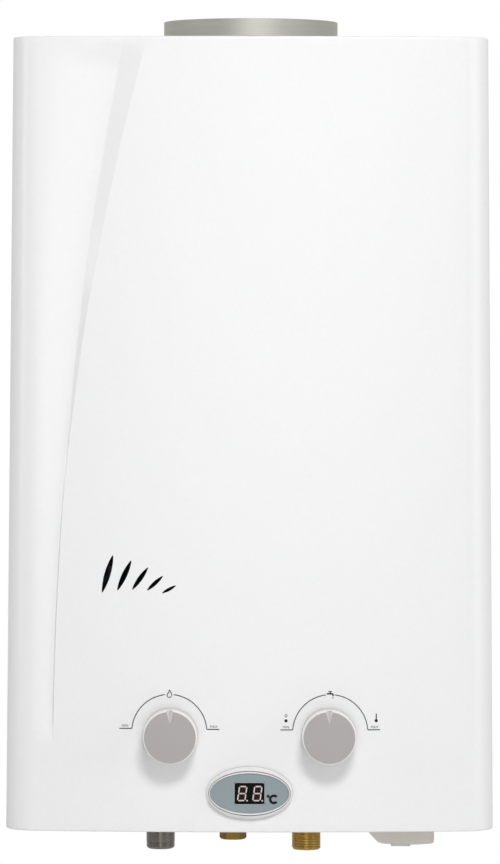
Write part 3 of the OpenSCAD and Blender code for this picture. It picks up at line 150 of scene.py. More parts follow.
# Pipe stubs
STUB_Y = -85.0
HOT_X = -65.0
HOT_Y = -81.0
COLD_X = 41.5
THREAD_R = 10.4775
STUB_BORE_R = 6.978
STUB_SLEEVE_R = 8.978
STUB_FLANGE_R = 13.978
STUB_NECK_R = 9.678
STUB_TOP = -272.0
STUB_FLANGE_TOP = -277.3
STUB_FLANGE_FOOT = -281.3
STUB_NECK_FOOT = -285.0
STUB_FOOT = -306.0

# Flue collar
FLUE_Y = -81.0
FLUE_R = 63.5
FLUE_TOP = 298.0
FLUE_FOOT = 242.0
FLUE_SHEET = 1.0
FLUE_FLANGE = 6.0
FLUE_BEAD = 2.5
# Heights of the bead: its foot, its upper edge, and the end of its slope
BEAD_FOOT = 282.5
BEAD_EDGE = 284.2
BEAD_END = 285.4

# Battery door
BATTERY_X = 113.5
DOOR_HALF = 20.1
DOOR_LIP = 8.5
DOOR_D = 74.9
DOOR_Z0 = -298.5
DOOR_Z1 = -288.0
DOOR_WALL = 2.0
HINGE_X = 136.55
HINGE_Z = -287.7
KNUCKLE_Y = (-106.3, -77.7)
KNUCKLE_LONG = 14.0


def linear(code):
    """Linear colour of an sRGB hex value."""
    shares = [int(code[i:i + 2], 16) / 255 for i in (0, 2, 4)]
    return (*[s / 12.92 if s <= 0.04045 else ((s + 0.055) / 1.055) ** 2.4 for s in shares], 1.0)


def add(tree, kind, inputs=None, **settings):
    """Adds a node with its settings. An input takes a value, or the socket that it is linked to."""
    made = tree.nodes.new(kind)
    for name, value in settings.items():
        setattr(made, name, value)
    for name, value in (inputs or {}).items():
        if isinstance(value, bpy.types.NodeSocket):
            tree.links.new(value, made.inputs[name])
        else:
            made.inputs[name].default_value = value
    return made


def finish_of(name, dark, light, grain, rough, relief=0.0, stretch=(1, 1, 1), cells=False, **shader):
    """Finish whose colour, roughness and relief follow one pattern on the piece.

    dark and light are sRGB hex. grain is the size of the pattern in mm, stretched along x, y and z.
    rough holds the least and the most roughness. relief is the pattern's height in mm. Cells give
    flakes instead of clouds.
    """
    made = bpy.data.materials.new(name)
    made.use_nodes = True
    tree = made.node_tree
    tree.nodes.clear()
    place = add(tree, "ShaderNodeTexCoord")
    sized = add(tree, "ShaderNodeMapping", {
        "Vector": place.outputs["Object"],
        "Scale": [1 / (grain * s * MM) for s in stretch],
    })
    if cells:
        pattern = add(tree, "ShaderNodeTexVoronoi", {"Vector": sized.outputs[0], "Scale": 1.0})
        spread = add(tree, "ShaderNodeMapRange", {"Value": pattern.outputs["Color"]})
    else:
        pattern = add(tree, "ShaderNodeTexNoise", {
            "Vector": sized.outputs[0], "Scale": 1.0, "Detail": 3.0,
        })
        spread = add(tree, "ShaderNodeMapRange", {
            "Value": pattern.outputs["Fac"], "From Min": 0.3, "From Max": 0.7,
        })
    level = spread.outputs[0]
    tint = add(tree, "ShaderNodeMix", {0: level, 6: linear(dark), 7: linear(light)}, data_type="RGBA")
    gloss = add(tree, "ShaderNodeMapRange", {"Value": level, "To Min": rough[0], "To Max": rough[1]})
    sockets = {key.replace("_", " "): value for key, value in shader.items()}
    body = add(tree, "ShaderNodeBsdfPrincipled", {
        "Base Color": tint.outputs[2], "Roughness": gloss.outputs[0], **sockets,
    })
    if relief:
        bump = add(tree, "ShaderNodeBump", {"Height": level, "Distance": relief * MM})
        tree.links.new(bump.outputs[0], body.inputs["Normal"])
    add(tree, "ShaderNodeOutputMaterial", {"Surface": body.outputs[0]})
    return made


# Stoved enamel on pressed steel: an even white with a soft gloss and a barely seen orange peel
enamel = finish_of("stoved_enamel", "F5F5F6", "F7F7F8", 2.4, (0.28, 0.31), relief=0.0006, IOR=1.6)
# The same enamel on the flat panels inside the rim, a little duller
panel_enamel = finish_of("panel_enamel", "ECECEE", "F1F1F2", 1.6, (0.32, 0.4), relief=0.003, IOR=1.5)
# Galvanised sheet: grey flakes of zinc, each with its own brightness
zinc = finish_of("galvanised_sheet", "8F959A", "BCC1C4", 6.0, (0.32, 0.5), cells=True, Metallic=1.0)
# Brushed stainless flue: fine lines round the tube, drawn at 0.6 mm so that they show
flue_steel = finish_of("brushed_stainless", "BCBBB3", "C8C7BF", 0.6, (0.58, 0.64), relief=0.0006,
                       stretch=(60, 60, 1), Metallic=1.0)
# Bright zinc plate on small steel parts: a cool sheen with faint handling marks
plated = finish_of("zinc_plated_steel", "A9ADB2", "CFD2D5", 2.5, (0.22, 0.36), Metallic=1.0)
# Heat-tinted stainless of the burner: straw and blue-grey clouds
burner_steel = finish_of("heat_tinted_steel", "7A7068", "B0AAA2", 9.0, (0.3, 0.5), Metallic=1.0)
# Sheet round the flames, blackened by heat and soot
sooted_sheet = finish_of("heat_blackened_sheet", "17171A", "262628", 5.0, (0.5, 0.65), Metallic=0.5)
# Copper of the chamber, darkened by heat to a brown film
dark_copper = finish_of("heat_darkened_copper", "2C1E18", "4A3024", 8.0, (0.42, 0.58), Metallic=0.7)
# Drawn copper tube: warm metal with patches of dull oxide
copper = finish_of("drawn_copper", "8E4F33", "C98058", 7.0, (0.24, 0.42), Metallic=1.0)
# Turned brass: yellow metal with fine tool lines round it, drawn at 0.4 mm
brass = finish_of("turned_brass", "AF8B46", "CBA65D", 0.4, (0.26, 0.38), relief=0.002,
                  stretch=(40, 40, 1), Metallic=1.0)
# Dull brass of the gas fitting: the same metal, darker in tone
dull_brass = finish_of("dull_brass", "80672F", "957A3E", 1.2, (0.36, 0.46), relief=0.001, Metallic=1.0)
# Nickel-black fitting: a dark warm metal, drawn lengthwise, with lines at 0.6 mm so that they show
black_nickel = finish_of("black_nickel", "817D76", "88847D", 0.6, (0.24, 0.3), relief=0.0004,
                         stretch=(1, 1, 40), Metallic=1.0)
# Die-cast zinc body: matt grey with the skin of the mould
die_cast = finish_of("die_cast_zinc", "83868A", "A6A9AC", 1.8, (0.42, 0.58), relief=0.02, Metallic=1.0)
# Moulded rubber: near black and matt
rubber = finish_of("moulded_rubber", "141414", "1E1D1D", 1.2, (0.6, 0.75), relief=0.01, IOR=1.52)
# Black ABS: moulded with a fine spark grain
black_abs = finish_of("black_abs", "17171A", "202024", 0.8, (0.38, 0.5), relief=0.01, IOR=1.53)
# Red ABS of the switch, smooth
red_abs = finish_of("red_abs", "8E1C18", "A5261F", 1.5, (0.3, 0.4), IOR=1.53)
# Satin lacquer on the knobs' faces: an even warm grey
knob_grey = finish_of("satin_grey_lacquer", "AEA9A8", "B3AEAD", 0.9, (0.34, 0.42), relief=0.001, IOR=1.5)
# Lacquer on the knobs' skirts: light grey with a fine flake, painted lighter than the face as painted
# light that stands in for the light falling on them from above
knob_skirt_painted_light = finish_of("skirt_lacquer_painted_light", "CDCBC8", "D3D1CE", 0.9, (0.28, 0.36), IOR=1.5)
# Paler lacquer in the pointing groove of the knobs: painted light, standing in for the light that its
# walls catch
knob_groove_painted_light = finish_of("groove_lacquer_painted_light", "D4D0CE", "DAD6D4", 0.9, (0.34, 0.42), IOR=1.5)
# Edge of the knobs and the front of their skirts: white lacquer, glossier than the skirt, a painted
# highlight that stands in for the light the bevel catches
knob_edge_painted_highlight = finish_of("edge_painted_highlight_lacquer", "F4F3F2", "F8F7F6", 1.5, (0.3, 0.36), IOR=1.5)
# Glazed alumina: warm white and glossy, with faint specks
alumina = finish_of("glazed_alumina", "E4DFD4", "F0ECE3", 1.4, (0.14, 0.24), IOR=1.6)
# Silicone sleeves of the leads: matt with dust
red_silicone = finish_of("red_silicone", "8F1D1A", "A82A24", 2.0, (0.5, 0.62), IOR=1.43)
white_silicone = finish_of("white_silicone", "D8D6D0", "E6E4DF", 2.0, (0.5, 0.62), IOR=1.43)
black_silicone = finish_of("black_silicone", "161616", "222222", 2.0, (0.5, 0.62), IOR=1.43)
# Pale ABS of the battery door: a warm light grey with a fine grain
pale_abs = finish_of("pale_abs", "DCD6CD", "E2DCD4", 0.9, (0.3, 0.38), relief=0.003, IOR=1.53)
# Printed jacket of a dry cell: dark film with a satin gloss
cell_film = finish_of("cell_film", "2E3B3F", "3A494E", 3.0, (0.28, 0.36), IOR=1.5)
# Gloss white lacquer on the display's rim
rim_white = finish_of("gloss_rim_lacquer", "EFEEED", "F6F5F4", 2.0, (0.16, 0.22), IOR=1.53)
# Grey of the rim's foot and of the line in its groove: painted shade, standing in for the shade that
# falls at the foot and in the groove
rim_painted_shade = finish_of("rim_painted_shade_line", "857F7C", "918B88", 2.0, (0.3, 0.36), IOR=1.5)
# Blue-grey printed film of the display
blue_film = finish_of("printed_film", "8C999F", "95A1A6", 1.0, (0.3, 0.36), relief=0.003, IOR=1.49)
# Smoked acrylic over the digits: nearly black, with a polished face
smoked_acrylic = finish_of("smoked_acrylic", "060505", "0A0808", 4.0, (0.1, 0.14), IOR=1.49,
                           Specular_IOR_Level=0.12)
# Dark red mask between the segments of the digits
mask_red = finish_of("digit_mask", "241013", "2C1418", 2.0, (0.3, 0.4), IOR=1.49,
                     Specular_IOR_Level=0.12)
# Segments of the digits: pale red-white plastic, unlit
segment_white = finish_of("segment_plastic", "D0C6BC", "DED5CC", 0.8, (0.4, 0.5), IOR=1.5)
# Pale ink of the line round the window
line_pale = finish_of("pale_ink", "B9C4C8", "C6D0D3", 0.8, (0.4, 0.5), IOR=1.5)
# Circuit board: green mask over glass cloth with the weave showing, at 1 mm
board_green = finish_of("solder_mask", "1E4A2C", "2B5F3A", 1.0, (0.26, 0.34), relief=0.008, IOR=1.5)
# Screen-printing ink of the dials: dark grey and matt
ink_grey = finish_of("dial_ink", "1F1D1E", "2B2829", 0.6, (0.5, 0.6), IOR=1.5, Specular_IOR_Level=0.25)
# Black ink of the display's mark
ink_black = finish_of("display_ink", "08080A", "101012", 0.6, (0.45, 0.55), IOR=1.5,
                      Specular_IOR_Level=0.2)


# Most that a rounded corner takes of each side that meets there
MOST_BACK = 0.49


def soften(outline, radii, steps=5):
    """Closed outline with its corners rounded, each by its own radius."""
    out = []
    for i, corner in enumerate(outline):
        p = Vector(corner)
        if not radii[i]:
            out.append(p)
            continue
        before = Vector(outline[i - 1]) - p
        after = Vector(outline[(i + 1) % len(outline)]) - p
        back = radii[i] / math.tan(before.angle(after) / 2)
        back = min(back, MOST_BACK * before.length, MOST_BACK * after.length)
        a = p + back * before.normalized()
        b = p + back * after.normalized()
        for k in range(steps + 1):
            t = k / steps
            out.append((1 - t) ** 2 * a + 2 * t * (1 - t) * p + t * t * b)
    return out


def settled(obj):
    """Makes the modifiers of an object part of its mesh."""
    bpy.context.view_layer.update()
    graph = bpy.context.evaluated_depsgraph_get()
    mesh = bpy.data.meshes.new_from_object(obj.evaluated_get(graph), depsgraph=graph)
    obj.modifiers.clear()
    obj.data = mesh


def closed(mesh):
    """Merges doubles and turns the faces of a closed mesh outwards."""
    work = bmesh.new()
    work.from_mesh(mesh)
    bmesh.ops.remove_doubles(work, verts=work.verts, dist=1e-7)
    bmesh.ops.dissolve_degenerate(work, edges=work.edges, dist=1e-8)
    bmesh.ops.recalc_face_normals(work, faces=work.faces)
    work.to_mesh(mesh)
    work.free()


def piece(name, verts, faces, mend=True):
    """Mesh object from points in mm."""
    mesh = bpy.data.meshes.new(name)
    mesh.from_pydata([Vector(v) * MM for v in verts], [], faces)
    if mend:
        closed(mesh)
    obj = bpy.data.objects.new(name, mesh)
    SHELF.link(obj)
    return obj


def dress(obj, look, crisp=32.0):
    """Gives a piece its finish, smooth apart from edges that turn more than crisp degrees."""
    obj.data.materials.clear()
    obj.data.materials.append(look)
    obj.data.shade_smooth()
    obj.data.set_sharp_from_angle(angle=math.radians(crisp))


def belongs(obj, body, slot, *nodes):
    """Ties a finished piece to its body and hides the CAD nodes that it stands for. The slot is not
    used.
    """
    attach(obj, body)
    if nodes:
        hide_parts(*nodes)


def drop(obj):
    """Removes a helper object."""
    bpy.data.objects.remove(obj)


def joined(parts):
    """One list of points and faces from several."""
    verts = []
    faces = []
    for part_verts, part_faces in parts:
        base = len(verts)
        verts += part_verts
        faces += [tuple(base + i for i in face) for face in part_faces]
    return verts, faces


def upright(x, y):
    """Places a turned profile on an upright axis."""
    return lambda u, v, h: (x + u, y + v, h)


def facing(x, y, z):
    """Places a turned profile on an axis that points out of the front."""
    return lambda u, v, h: (x + u, y - h, z + v)


def backward(x, y, z):
    """Places a turned profile on an axis that points to the wall."""
    return lambda u, v, h: (x + u, y + h, z + v)


def around(steps, n):
    """Faces of a closed section of n points that is repeated in steps round an axis."""
    faces = []
    for i in range(steps):
        j = (i + 1) % steps
        for k in range(n):
            m = (k + 1) % n
            faces.append((i * n + k, j * n + k, j * n + m, i * n + m))
    return faces


def turned(profile, place, steps=96):
    """Points and faces of a closed profile of (radius, height), turned about an axis."""
    verts = []
    for i in range(steps):
        a = 2 * math.pi * i / steps
        verts += [place(r * math.cos(a), r * math.sin(a), h) for r, h in profile]
    return verts, around(steps, len(profile))


def prism(outline, place, low, high):
    """Points and faces of an outline, drawn from one height to another."""
    n = len(outline)
    verts = [place(u, v, low) for u, v in outline] + [place(u, v, high) for u, v in outline]
    faces = [tuple(range(n)), tuple(range(n, 2 * n))]
    faces += [(i, (i + 1) % n, n + (i + 1) % n, n + i) for i in range(n)]
    return verts, faces


def block(low, high):
    """Points and faces of a box between two corners."""
    outline = [(low[0], low[1]), (high[0], low[1]), (high[0], high[1]), (low[0], high[1])]
    return prism(outline, lambda u, v, h: (u, v, h), low[2], high[2])


def ring(half, n=96):
    """Outline of an oval with the given half sizes."""
    angles = [2 * math.pi * i / n for i in range(n)]
    return [(half[0] * math.cos(a), half[1] * math.sin(a)) for a in angles]


def walled(obj, thick):
    """Gives a sheet its thickness, inwards from its outer face."""
    wall = obj.modifiers.new("wall", "SOLIDIFY")
    wall.thickness = thick * MM
    wall.offset = -1.0


def bevelled(obj, width, segments, least_turn):
    """Rounds the edges of a piece that turn more than an angle in degrees."""
    edge = obj.modifiers.new("edge", "BEVEL")
    edge.width = width * MM
    edge.segments = segments
    edge.limit_method = "ANGLE"
    edge.angle_limit = math.radians(least_turn)


def cut(obj, cutters):
    """Takes closed shapes away from a piece."""
    tool = piece("cutter", *joined(cutters))
    carve = obj.modifiers.new("carve", "BOOLEAN")
    carve.operation = "DIFFERENCE"
    carve.solver = "EXACT"
    carve.object = tool
    settled(obj)
    drop(tool)


def copies_tree():
    """Tree that sets a shape on each point, turned by the point's own angles."""
    tree = bpy.data.node_groups.new("copies_on_points", "GeometryNodeTree")
    sockets = tree.interface
    sockets.new_socket("Geometry", in_out="INPUT", socket_type="NodeSocketGeometry")
    sockets.new_socket("Shape", in_out="INPUT", socket_type="NodeSocketObject")
    sockets.new_socket("Look", in_out="INPUT", socket_type="NodeSocketMaterial")
    sockets.new_socket("Geometry", in_out="OUTPUT", socket_type="NodeSocketGeometry")
    given = add(tree, "NodeGroupInput")
    angles = add(tree, "GeometryNodeInputNamedAttribute", {"Name": "turn"}, data_type="FLOAT_VECTOR")
    turn = add(tree, "FunctionNodeEulerToRotation", {"Euler": angles.outputs["Attribute"]})
    shape = add(tree, "GeometryNodeObjectInfo", {"Object": given.outputs["Shape"]})
    spots = add(tree, "GeometryNodeMeshToPoints", {"Mesh": given.outputs["Geometry"]})
    copies = add(tree, "GeometryNodeInstanceOnPoints", {
        "Points": spots.outputs[0], "Instance": shape.outputs["Geometry"], "Rotation": turn.outputs[0],
    })
    real = add(tree, "GeometryNodeRealizeInstances", {"Geometry": copies.outputs[0]})
    coat = add(tree, "GeometryNodeSetMaterial", {
        "Geometry": real.outputs[0], "Material": given.outputs["Look"],
    })
    add(tree, "NodeGroupOutput", {"Geometry": coat.outputs[0]})
    return tree


def thread_tree():
    """Tree that winds a ridge with a flat crest up a cylinder."""
    tree = bpy.data.node_groups.new("pipe_thread", "GeometryNodeTree")
    sockets = tree.interface
    sockets.new_socket("Geometry", in_out="INPUT", socket_type="NodeSocketGeometry")
    for name in ("Root radius", "Length", "Turns", "Root width", "Crest width", "Depth"):
        sockets.new_socket(name, in_out="INPUT", socket_type="NodeSocketFloat")
    sockets.new_socket("Look", in_out="INPUT", socket_type="NodeSocketMaterial")
    sockets.new_socket("Geometry", in_out="OUTPUT", socket_type="NodeSocketGeometry")
    given = add(tree, "NodeGroupInput")
    radius = given.outputs["Root radius"]
    path = add(tree, "GeometryNodeCurveSpiral", {
        "Resolution": 48, "Rotations": given.outputs["Turns"], "Height": given.outputs["Length"],
        "Start Radius": radius, "End Radius": radius,
    })
    level = add(tree, "GeometryNodeSetCurveNormal", {"Curve": path.outputs[0]}, mode="Z_UP")
    section = add(tree, "GeometryNodeCurvePrimitiveQuadrilateral", {
        "Height": given.outputs["Depth"], "Bottom Width": given.outputs["Root width"],
        "Top Width": given.outputs["Crest width"], "Offset": 0.0,
    }, mode="TRAPEZOID")
    upturned = add(tree, "GeometryNodeTransform", {
        "Geometry": section.outputs[0], "Rotation": (0.0, 0.0, math.radians(90.0)),
    })
    ridge = add(tree, "GeometryNodeCurveToMesh", {
        "Curve": level.outputs[0], "Profile Curve": upturned.outputs[0], "Fill Caps": True,
    })
    real = add(tree, "GeometryNodeRealizeInstances", {"Geometry": ridge.outputs[0]})
    coat = add(tree, "GeometryNodeSetMaterial", {
        "Geometry": real.outputs[0], "Material": given.outputs["Look"],
    })
    add(tree, "NodeGroupOutput", {"Geometry": coat.outputs[0]})
    return tree


COPIES = copies_tree()
THREAD = thread_tree()


def grown(obj, tree, values):
    """Runs a tree on an object with its inputs set, and keeps the result as a plain mesh."""
    grow = obj.modifiers.new("grow", "NODES")
    grow.node_group = tree
    for socket in tree.interface.items_tree:
        if socket.in_out == "INPUT" and socket.name in values:
            grow[socket.identifier] = values[socket.name]
    settled(obj)


def copies(name, shape, places, look):
    """Copies of a shape at places in mm, each with its turn in degrees."""
    mesh = bpy.data.meshes.new(name)
    mesh.from_pydata([Vector(spot) * MM for spot, angles in places], [], [])
    turn = mesh.attributes.new("turn", "FLOAT_VECTOR", "POINT")
    for i, (spot, angles) in enumerate(places):
        turn.data[i].vector = [math.radians(a) for a in angles]
    obj = bpy.data.objects.new(name, mesh)
    SHELF.link(obj)
    grown(obj, COPIES, {"Shape": shape, "Look": look})
    drop(shape)
    return obj


def width_share(z):
    """Width of the casing at a height, as a share of the width at its foot."""
    return 1 - (z - Z_BOT) * math.tan(TAPER) / HALF_W


def front_y(x, z):
    """Place of the bowed front at a point."""
    x0 = x / width_share(z)
    return BOW_Y - math.sqrt(BOW_R ** 2 - x0 ** 2)


def portion(value, whole):
    """Share of a whole that a value has reached, from 0 to 1."""
    return min(max(value / whole, 0.0), 1.0)


def eased(t):
    """Share from 0 to 1 that starts and ends level."""
    return t * t * (3 - 2 * t)


def crease_x(end, sag, z):
    """Place across of one edge of the crease: an arc from its foot to its upper end."""
    chord = end - CREASE_FOOT
    radius = (chord.length_squared / 4 + sag ** 2) / (2 * sag)
    inward = Vector((chord.y, -chord.x)).normalized()
    centre = (end + CREASE_FOOT) / 2 + (radius - sag) * inward
    return centre.x - math.sqrt(radius ** 2 - (z - centre.y) ** 2)


def crease_depth(z):
    """Height of the step at the crease: low where it is narrow, none at its foot and its head."""
    wide = crease_x(CREASE_RIGHT, CREASE_RIGHT_SAG, z) - crease_x(CREASE_LEFT, CREASE_LEFT_SAG, z)
    step = min(CREASE_DEPTH, CREASE_DEPTH_LEAST + CREASE_DEPTH_GAIN * wide)
    return step * portion(z - CREASE_FOOT.y, CREASE_FADE) * eased(portion(Z_TOP - z, CREASE_HEAD))


def crease_fold(z, wide):
    """Depth of the sharp fold that the crease ends in: deepest where the facet is narrowest."""
    narrow = max(0.0, 1 - wide / CREASE_FOLD_END)
    return CREASE_FOLD * portion(z - CREASE_FOOT.y, CREASE_FADE) * narrow


def cover_columns(z):
    """Columns of the cover at a height: kind, side, place along the plan, and how deep it is sunk."""
    corner_n = 12
    left_n = 8
    right_n = 40
    quarter = math.pi / 2
    corner = [-quarter + (quarter - CORNER_SWING) * i / corner_n for i in range(corner_n + 1)]
    z_in = min(max(z, CREASE_FOOT.y), Z_TOP)
    left = crease_x(CREASE_LEFT, CREASE_LEFT_SAG, z_in) / width_share(z)
    right = crease_x(CREASE_RIGHT, CREASE_RIGHT_SAG, z_in) / width_share(z)
    right = max(right, left + CREASE_WIDTH_LEAST)
    depth = crease_depth(z_in)
    fold = crease_fold(z_in, right - left)
    hem = CREASE_HEM / BOW_R
    a0 = math.asin(left / BOW_R)
    a1 = math.asin(right / BOW_R)
    left_end = a0 - hem
    right_start = a1 + hem
    columns = [("side", -1, y, 0.0) for y in SIDE_Y]
    columns += [("corner", -1, a, 0.0) for a in corner]
    for i in range(1, left_n + 1):
        t = i / left_n
        columns.append(("front", 0, -CORNER_SWING + (left_end + CORNER_SWING) * t, depth * eased(t)))
    for u in CREASE_STEPS:
        sunk = depth * (1 - u) + fold * (1 - abs(2 * u - 1))
        columns.append(("front", 0, a0 + (a1 - a0) * u, sunk))
    for i in range(right_n):
        columns.append(("front", 0, right_start + (CORNER_SWING - right_start) * i / right_n, 0.0))
    columns += [("corner", 1, -a, 0.0) for a in reversed(corner)]
    columns += [("side", 1, y, 0.0) for y in reversed(SIDE_Y)]
    return columns


def cover_point(column, inset, z):
    """Point of the cover on a column, set in from the outer face."""
    kind, side, where, sunk = column
    if kind == "side":
        x = side * (HALF_W - inset)
        y = where
    elif kind == "corner":
        arm = CORNER_R - inset
        x = side * CORNER_X + arm * math.sin(where)
        y = BOW_Y - (BOW_R - CORNER_R) * math.cos(CORNER_SWING) - arm * math.cos(where)
    else:
        arm = BOW_R - inset - sunk * max(0.0, 1 - inset / EDGE_R)
        x = arm * math.sin(where)
        y = BOW_Y - arm * math.cos(where)
    return x * width_share(z), y, z


def leaf_outline(i):
    """Outline of a viewing slot across and up: a leaf with blunt ends, leaning to the right."""
    steps = 10
    long = LEAF_LONG - LEAF_LONG_LOSS * i
    wide = LEAF_WIDE - LEAF_WIDE_LOSS * i
    lean = math.radians(LEAF_LEAN + LEAF_LEAN_STEP * i + LEAF_LEAN_GAIN * i * i)
    pointed = LEAF_POINTED * long
    radius = (pointed ** 2 + wide ** 2) / (4 * wide)
    along = [long * (k / steps - 0.5) for k in range(steps + 1)]
    sides = [(t, math.sqrt(radius ** 2 - t ** 2) - radius + wide / 2) for t in along]
    loop = [(w, t) for t, w in sides] + [(-w, t) for t, w in reversed(sides)]
    x = LEAF_X + LEAF_PITCH * i - LEAF_PITCH_LOSS * i * i
    z = LEAF_Z - LEAF_DROP * i - LEAF_DROP_GAIN * i * i
    return [(x + u * math.cos(lean) + v * math.sin(lean), z - u * math.sin(lean) + v * math.cos(lean))
            for u, v in loop]


def front_cover():
    """Pressed cover: bowed front, tapering sides, folded lips, crease, slots and holes."""
    bend_n = 6
    row_n = 96
    angles = [math.pi / 2 * k / bend_n for k in range(bend_n + 1)]
    bends = [(EDGE_R * (1 - math.sin(a)), EDGE_R * (1 - math.cos(a))) for a in angles]
    low = Z_BOT + EDGE_R
    high = Z_TOP - EDGE_R
    rows = [(Z_BOT, LIP)]
    rows += [(Z_BOT + rise, inset) for inset, rise in bends]
    rows += [(low + (high - low) * i / row_n, 0.0) for i in range(1, row_n)]
    rows += [(Z_TOP - rise, inset) for inset, rise in reversed(bends)]
    rows.append((Z_TOP, LIP))
    verts = []
    for z, inset in rows:
        verts += [cover_point(column, inset, z) for column in cover_columns(z)]
    n = len(cover_columns(0.0))
    faces = []
    for r in range(len(rows) - 1):
        for c in range(n - 1):
            faces.append((r * n + c, r * n + c + 1, (r + 1) * n + c + 1, (r + 1) * n + c))
    skin = piece("cover_skin", verts, faces, mend=False)
    walled(skin, SHEET)
    settled(skin)
    holes = [leaf_outline(i) for i in range(LEAF_N)]
    for x in (-KNOB_X, KNOB_X):
        holes.append([(x + u, KNOB_Z + v) for u, v in ring((SPINDLE_HOLE_R, SPINDLE_HOLE_R), n=48)])
    holes.append([(u, DISPLAY_Z + v) for u, v in ring(NECK_HALF)])
    through = facing(0.0, FRONT, 0.0)
    cut(skin, [prism(hole, through, CUT_LOW, CUT_HIGH) for hole in holes])
    dress(skin, enamel)
    belongs(skin, "heater", "white_enamel", "front_cover")


def strip(points, width):
    """Flat strip of a width along points across and up."""
    verts = []
    for i, p in enumerate(points):
        a = Vector(points[max(i - 1, 0)])
        b = Vector(points[min(i + 1, len(points) - 1)])
        along = (b - a).normalized()
        side = Vector((-along.y, along.x)) * width / 2
        verts += [Vector(p) + side, Vector(p) - side]
    faces = [(2 * i, 2 * i + 2, 2 * i + 3, 2 * i + 1) for i in range(len(points) - 1)]
    return verts, faces


def arc(centre, radius, first, last, steps=40):
    """Points of an arc between two angles in degrees."""
    angles = [math.radians(first + (last - first) * i / steps) for i in range(steps + 1)]
    return [(centre[0] + radius * math.cos(a), centre[1] + radius * math.sin(a)) for a in angles]


def patch(points):
    """Flat shape with an outline across and up."""
    return [Vector(p) for p in points], [tuple(range(len(points)))]


def disc(centre, radius):
    """Flat round shape with 24 points."""
    return patch(arc(centre, radius, 0.0, 345.0, steps=23))


# Height of the font's capitals, as a share of its size
CAPITALS = 0.73


def word(letters, height, centre):
    """Flat letters of a height, centred across and up."""
    curve = bpy.data.curves.new("letters", "FONT")
    curve.body = letters
    curve.align_x = "CENTER"
    curve.size = height * MM / CAPITALS
    holder = bpy.data.objects.new("letters", curve)
    SHELF.link(holder)
    bpy.context.view_layer.update()
    graph = bpy.context.evaluated_depsgraph_get()
    mesh = bpy.data.meshes.new_from_object(holder.evaluated_get(graph))
    x = centre[0]
    z = centre[1] - height / 2
    verts = [Vector((v.co.x / MM + x, v.co.y / MM + z)) for v in mesh.vertices]
    faces = [tuple(face.vertices) for face in mesh.polygons]
    drop(holder)
    return verts, faces


def printed(name, shapes, look, surface, slot):
    """Ink on a surface: flat shapes as a thin film that faces the front."""
    flat, faces = joined(shapes)
    verts = [(p.x, surface(p.x, p.y) - FILM, p.y) for p in flat]
    film = piece(name, verts, faces, mend=False)
    work = bmesh.new()
    work.from_mesh(film.data)
    work.normal_update()
    bmesh.ops.reverse_faces(work, faces=[face for face in work.faces if face.normal.y > 0])
    work.to_mesh(film.data)
    work.free()
    walled(film, FILM)
    settled(film)
    dress(film, look)
    belongs(film, "heater", slot)


# Icons of the dials: the outline of a flame, and a tap with a drop under its spout
FLAME = [
    (0.1, 3.1), (0.8, 1.7), (1.6, 0.4), (1.7, -0.9), (1.1, -2.0), (0.0, -2.4), (-1.1, -2.0),
    (-1.7, -0.9), (-1.4, 0.3), (-0.8, 1.0), (-0.4, 0.3), (-0.3, 1.8),
]
TAP = [
    (-2.6, -0.1), (1.4, -0.1), (1.4, -1.2), (2.4, -1.2), (2.4, 0.2), (1.8, 1.0), (0.3, 1.0), (0.3, 1.8),
    (1.2, 1.8), (1.2, 2.4), (-1.4, 2.4), (-1.4, 1.8), (-0.5, 1.8), (-0.5, 1.0), (-2.6, 1.0),
]
DROP = [(1.9, -1.7), (2.35, -2.5), (1.9, -2.9), (1.45, -2.5)]


def dial(centre, icon, left_foot, right_foot):
    """Marks round a knob: an arc with a gap for its icon, and a foot with a word at each end."""
    radius = 26.8
    line = 0.66
    gap = 7.0
    icon_lift = 0.2
    foot_gap = 0.1
    foot_long = 8.7
    foot_line = 0.7
    word_high = 1.9
    word_lift = 2.0
    word_shift = 0.4
    x, z = centre
    left_end = 180 - math.degrees(math.asin(left_foot / radius))
    right_end = math.degrees(math.asin(right_foot / radius))
    shapes = [
        strip(arc(centre, radius, left_end, 90 + gap), line),
        strip(arc(centre, radius, 90 - gap, right_end), line),
    ]
    spot = Vector((x, z + radius + icon_lift))
    shapes += [([spot + p for p in verts], faces) for verts, faces in icon]
    for side, foot, letters in ((-1, left_foot, "MIN"), (1, right_foot, "MAX")):
        near = x + side * (radius + foot_gap)
        far = near + side * foot_long
        shapes.append(strip([(near, z + foot), (far, z + foot)], foot_line))
        middle = (near + far) / 2 + side * word_shift
        shapes.append(word(letters, word_high, (middle, z + foot + word_lift)))
    return shapes


def gauge(x, z, tall):
    """Small thermometer: a bulb, with a tall stem over it or only a small ring."""
    bulb_r = 1.15
    stem_wide = 0.8
    ring_r = 0.8
    ring_line = 0.4
    bulb = disc((x, z - 3.4), bulb_r)
    if tall:
        return [bulb, strip([(x, z - 2.4), (x, z + 1.6)], stem_wide)]
    return [bulb, strip(arc((x, z + 0.2), ring_r, 0.0, 360.0, steps=24), ring_line)]


def dial_print():
    """Print round both knobs, with a thermometer over each foot of the right dial."""
    level = KNOB_Z + 1.9
    flame_line = 0.6
    flame = [strip(FLAME + FLAME[:1], flame_line)]
    tap = [patch(TAP), patch(DROP)]
    shapes = dial((-KNOB_X - 0.8, level), flame, left_foot=2.4, right_foot=2.0)
    shapes += dial((KNOB_X + 1.0, level), tap, left_foot=1.7, right_foot=1.7)
    gauge_z = KNOB_Z + 13.5
    shapes += gauge(KNOB_X - 30.6, gauge_z, tall=False)
    shapes += gauge(KNOB_X + 33.8, gauge_z, tall=True)
    printed("dial_print", shapes, ink_grey, front_y, "white_enamel")


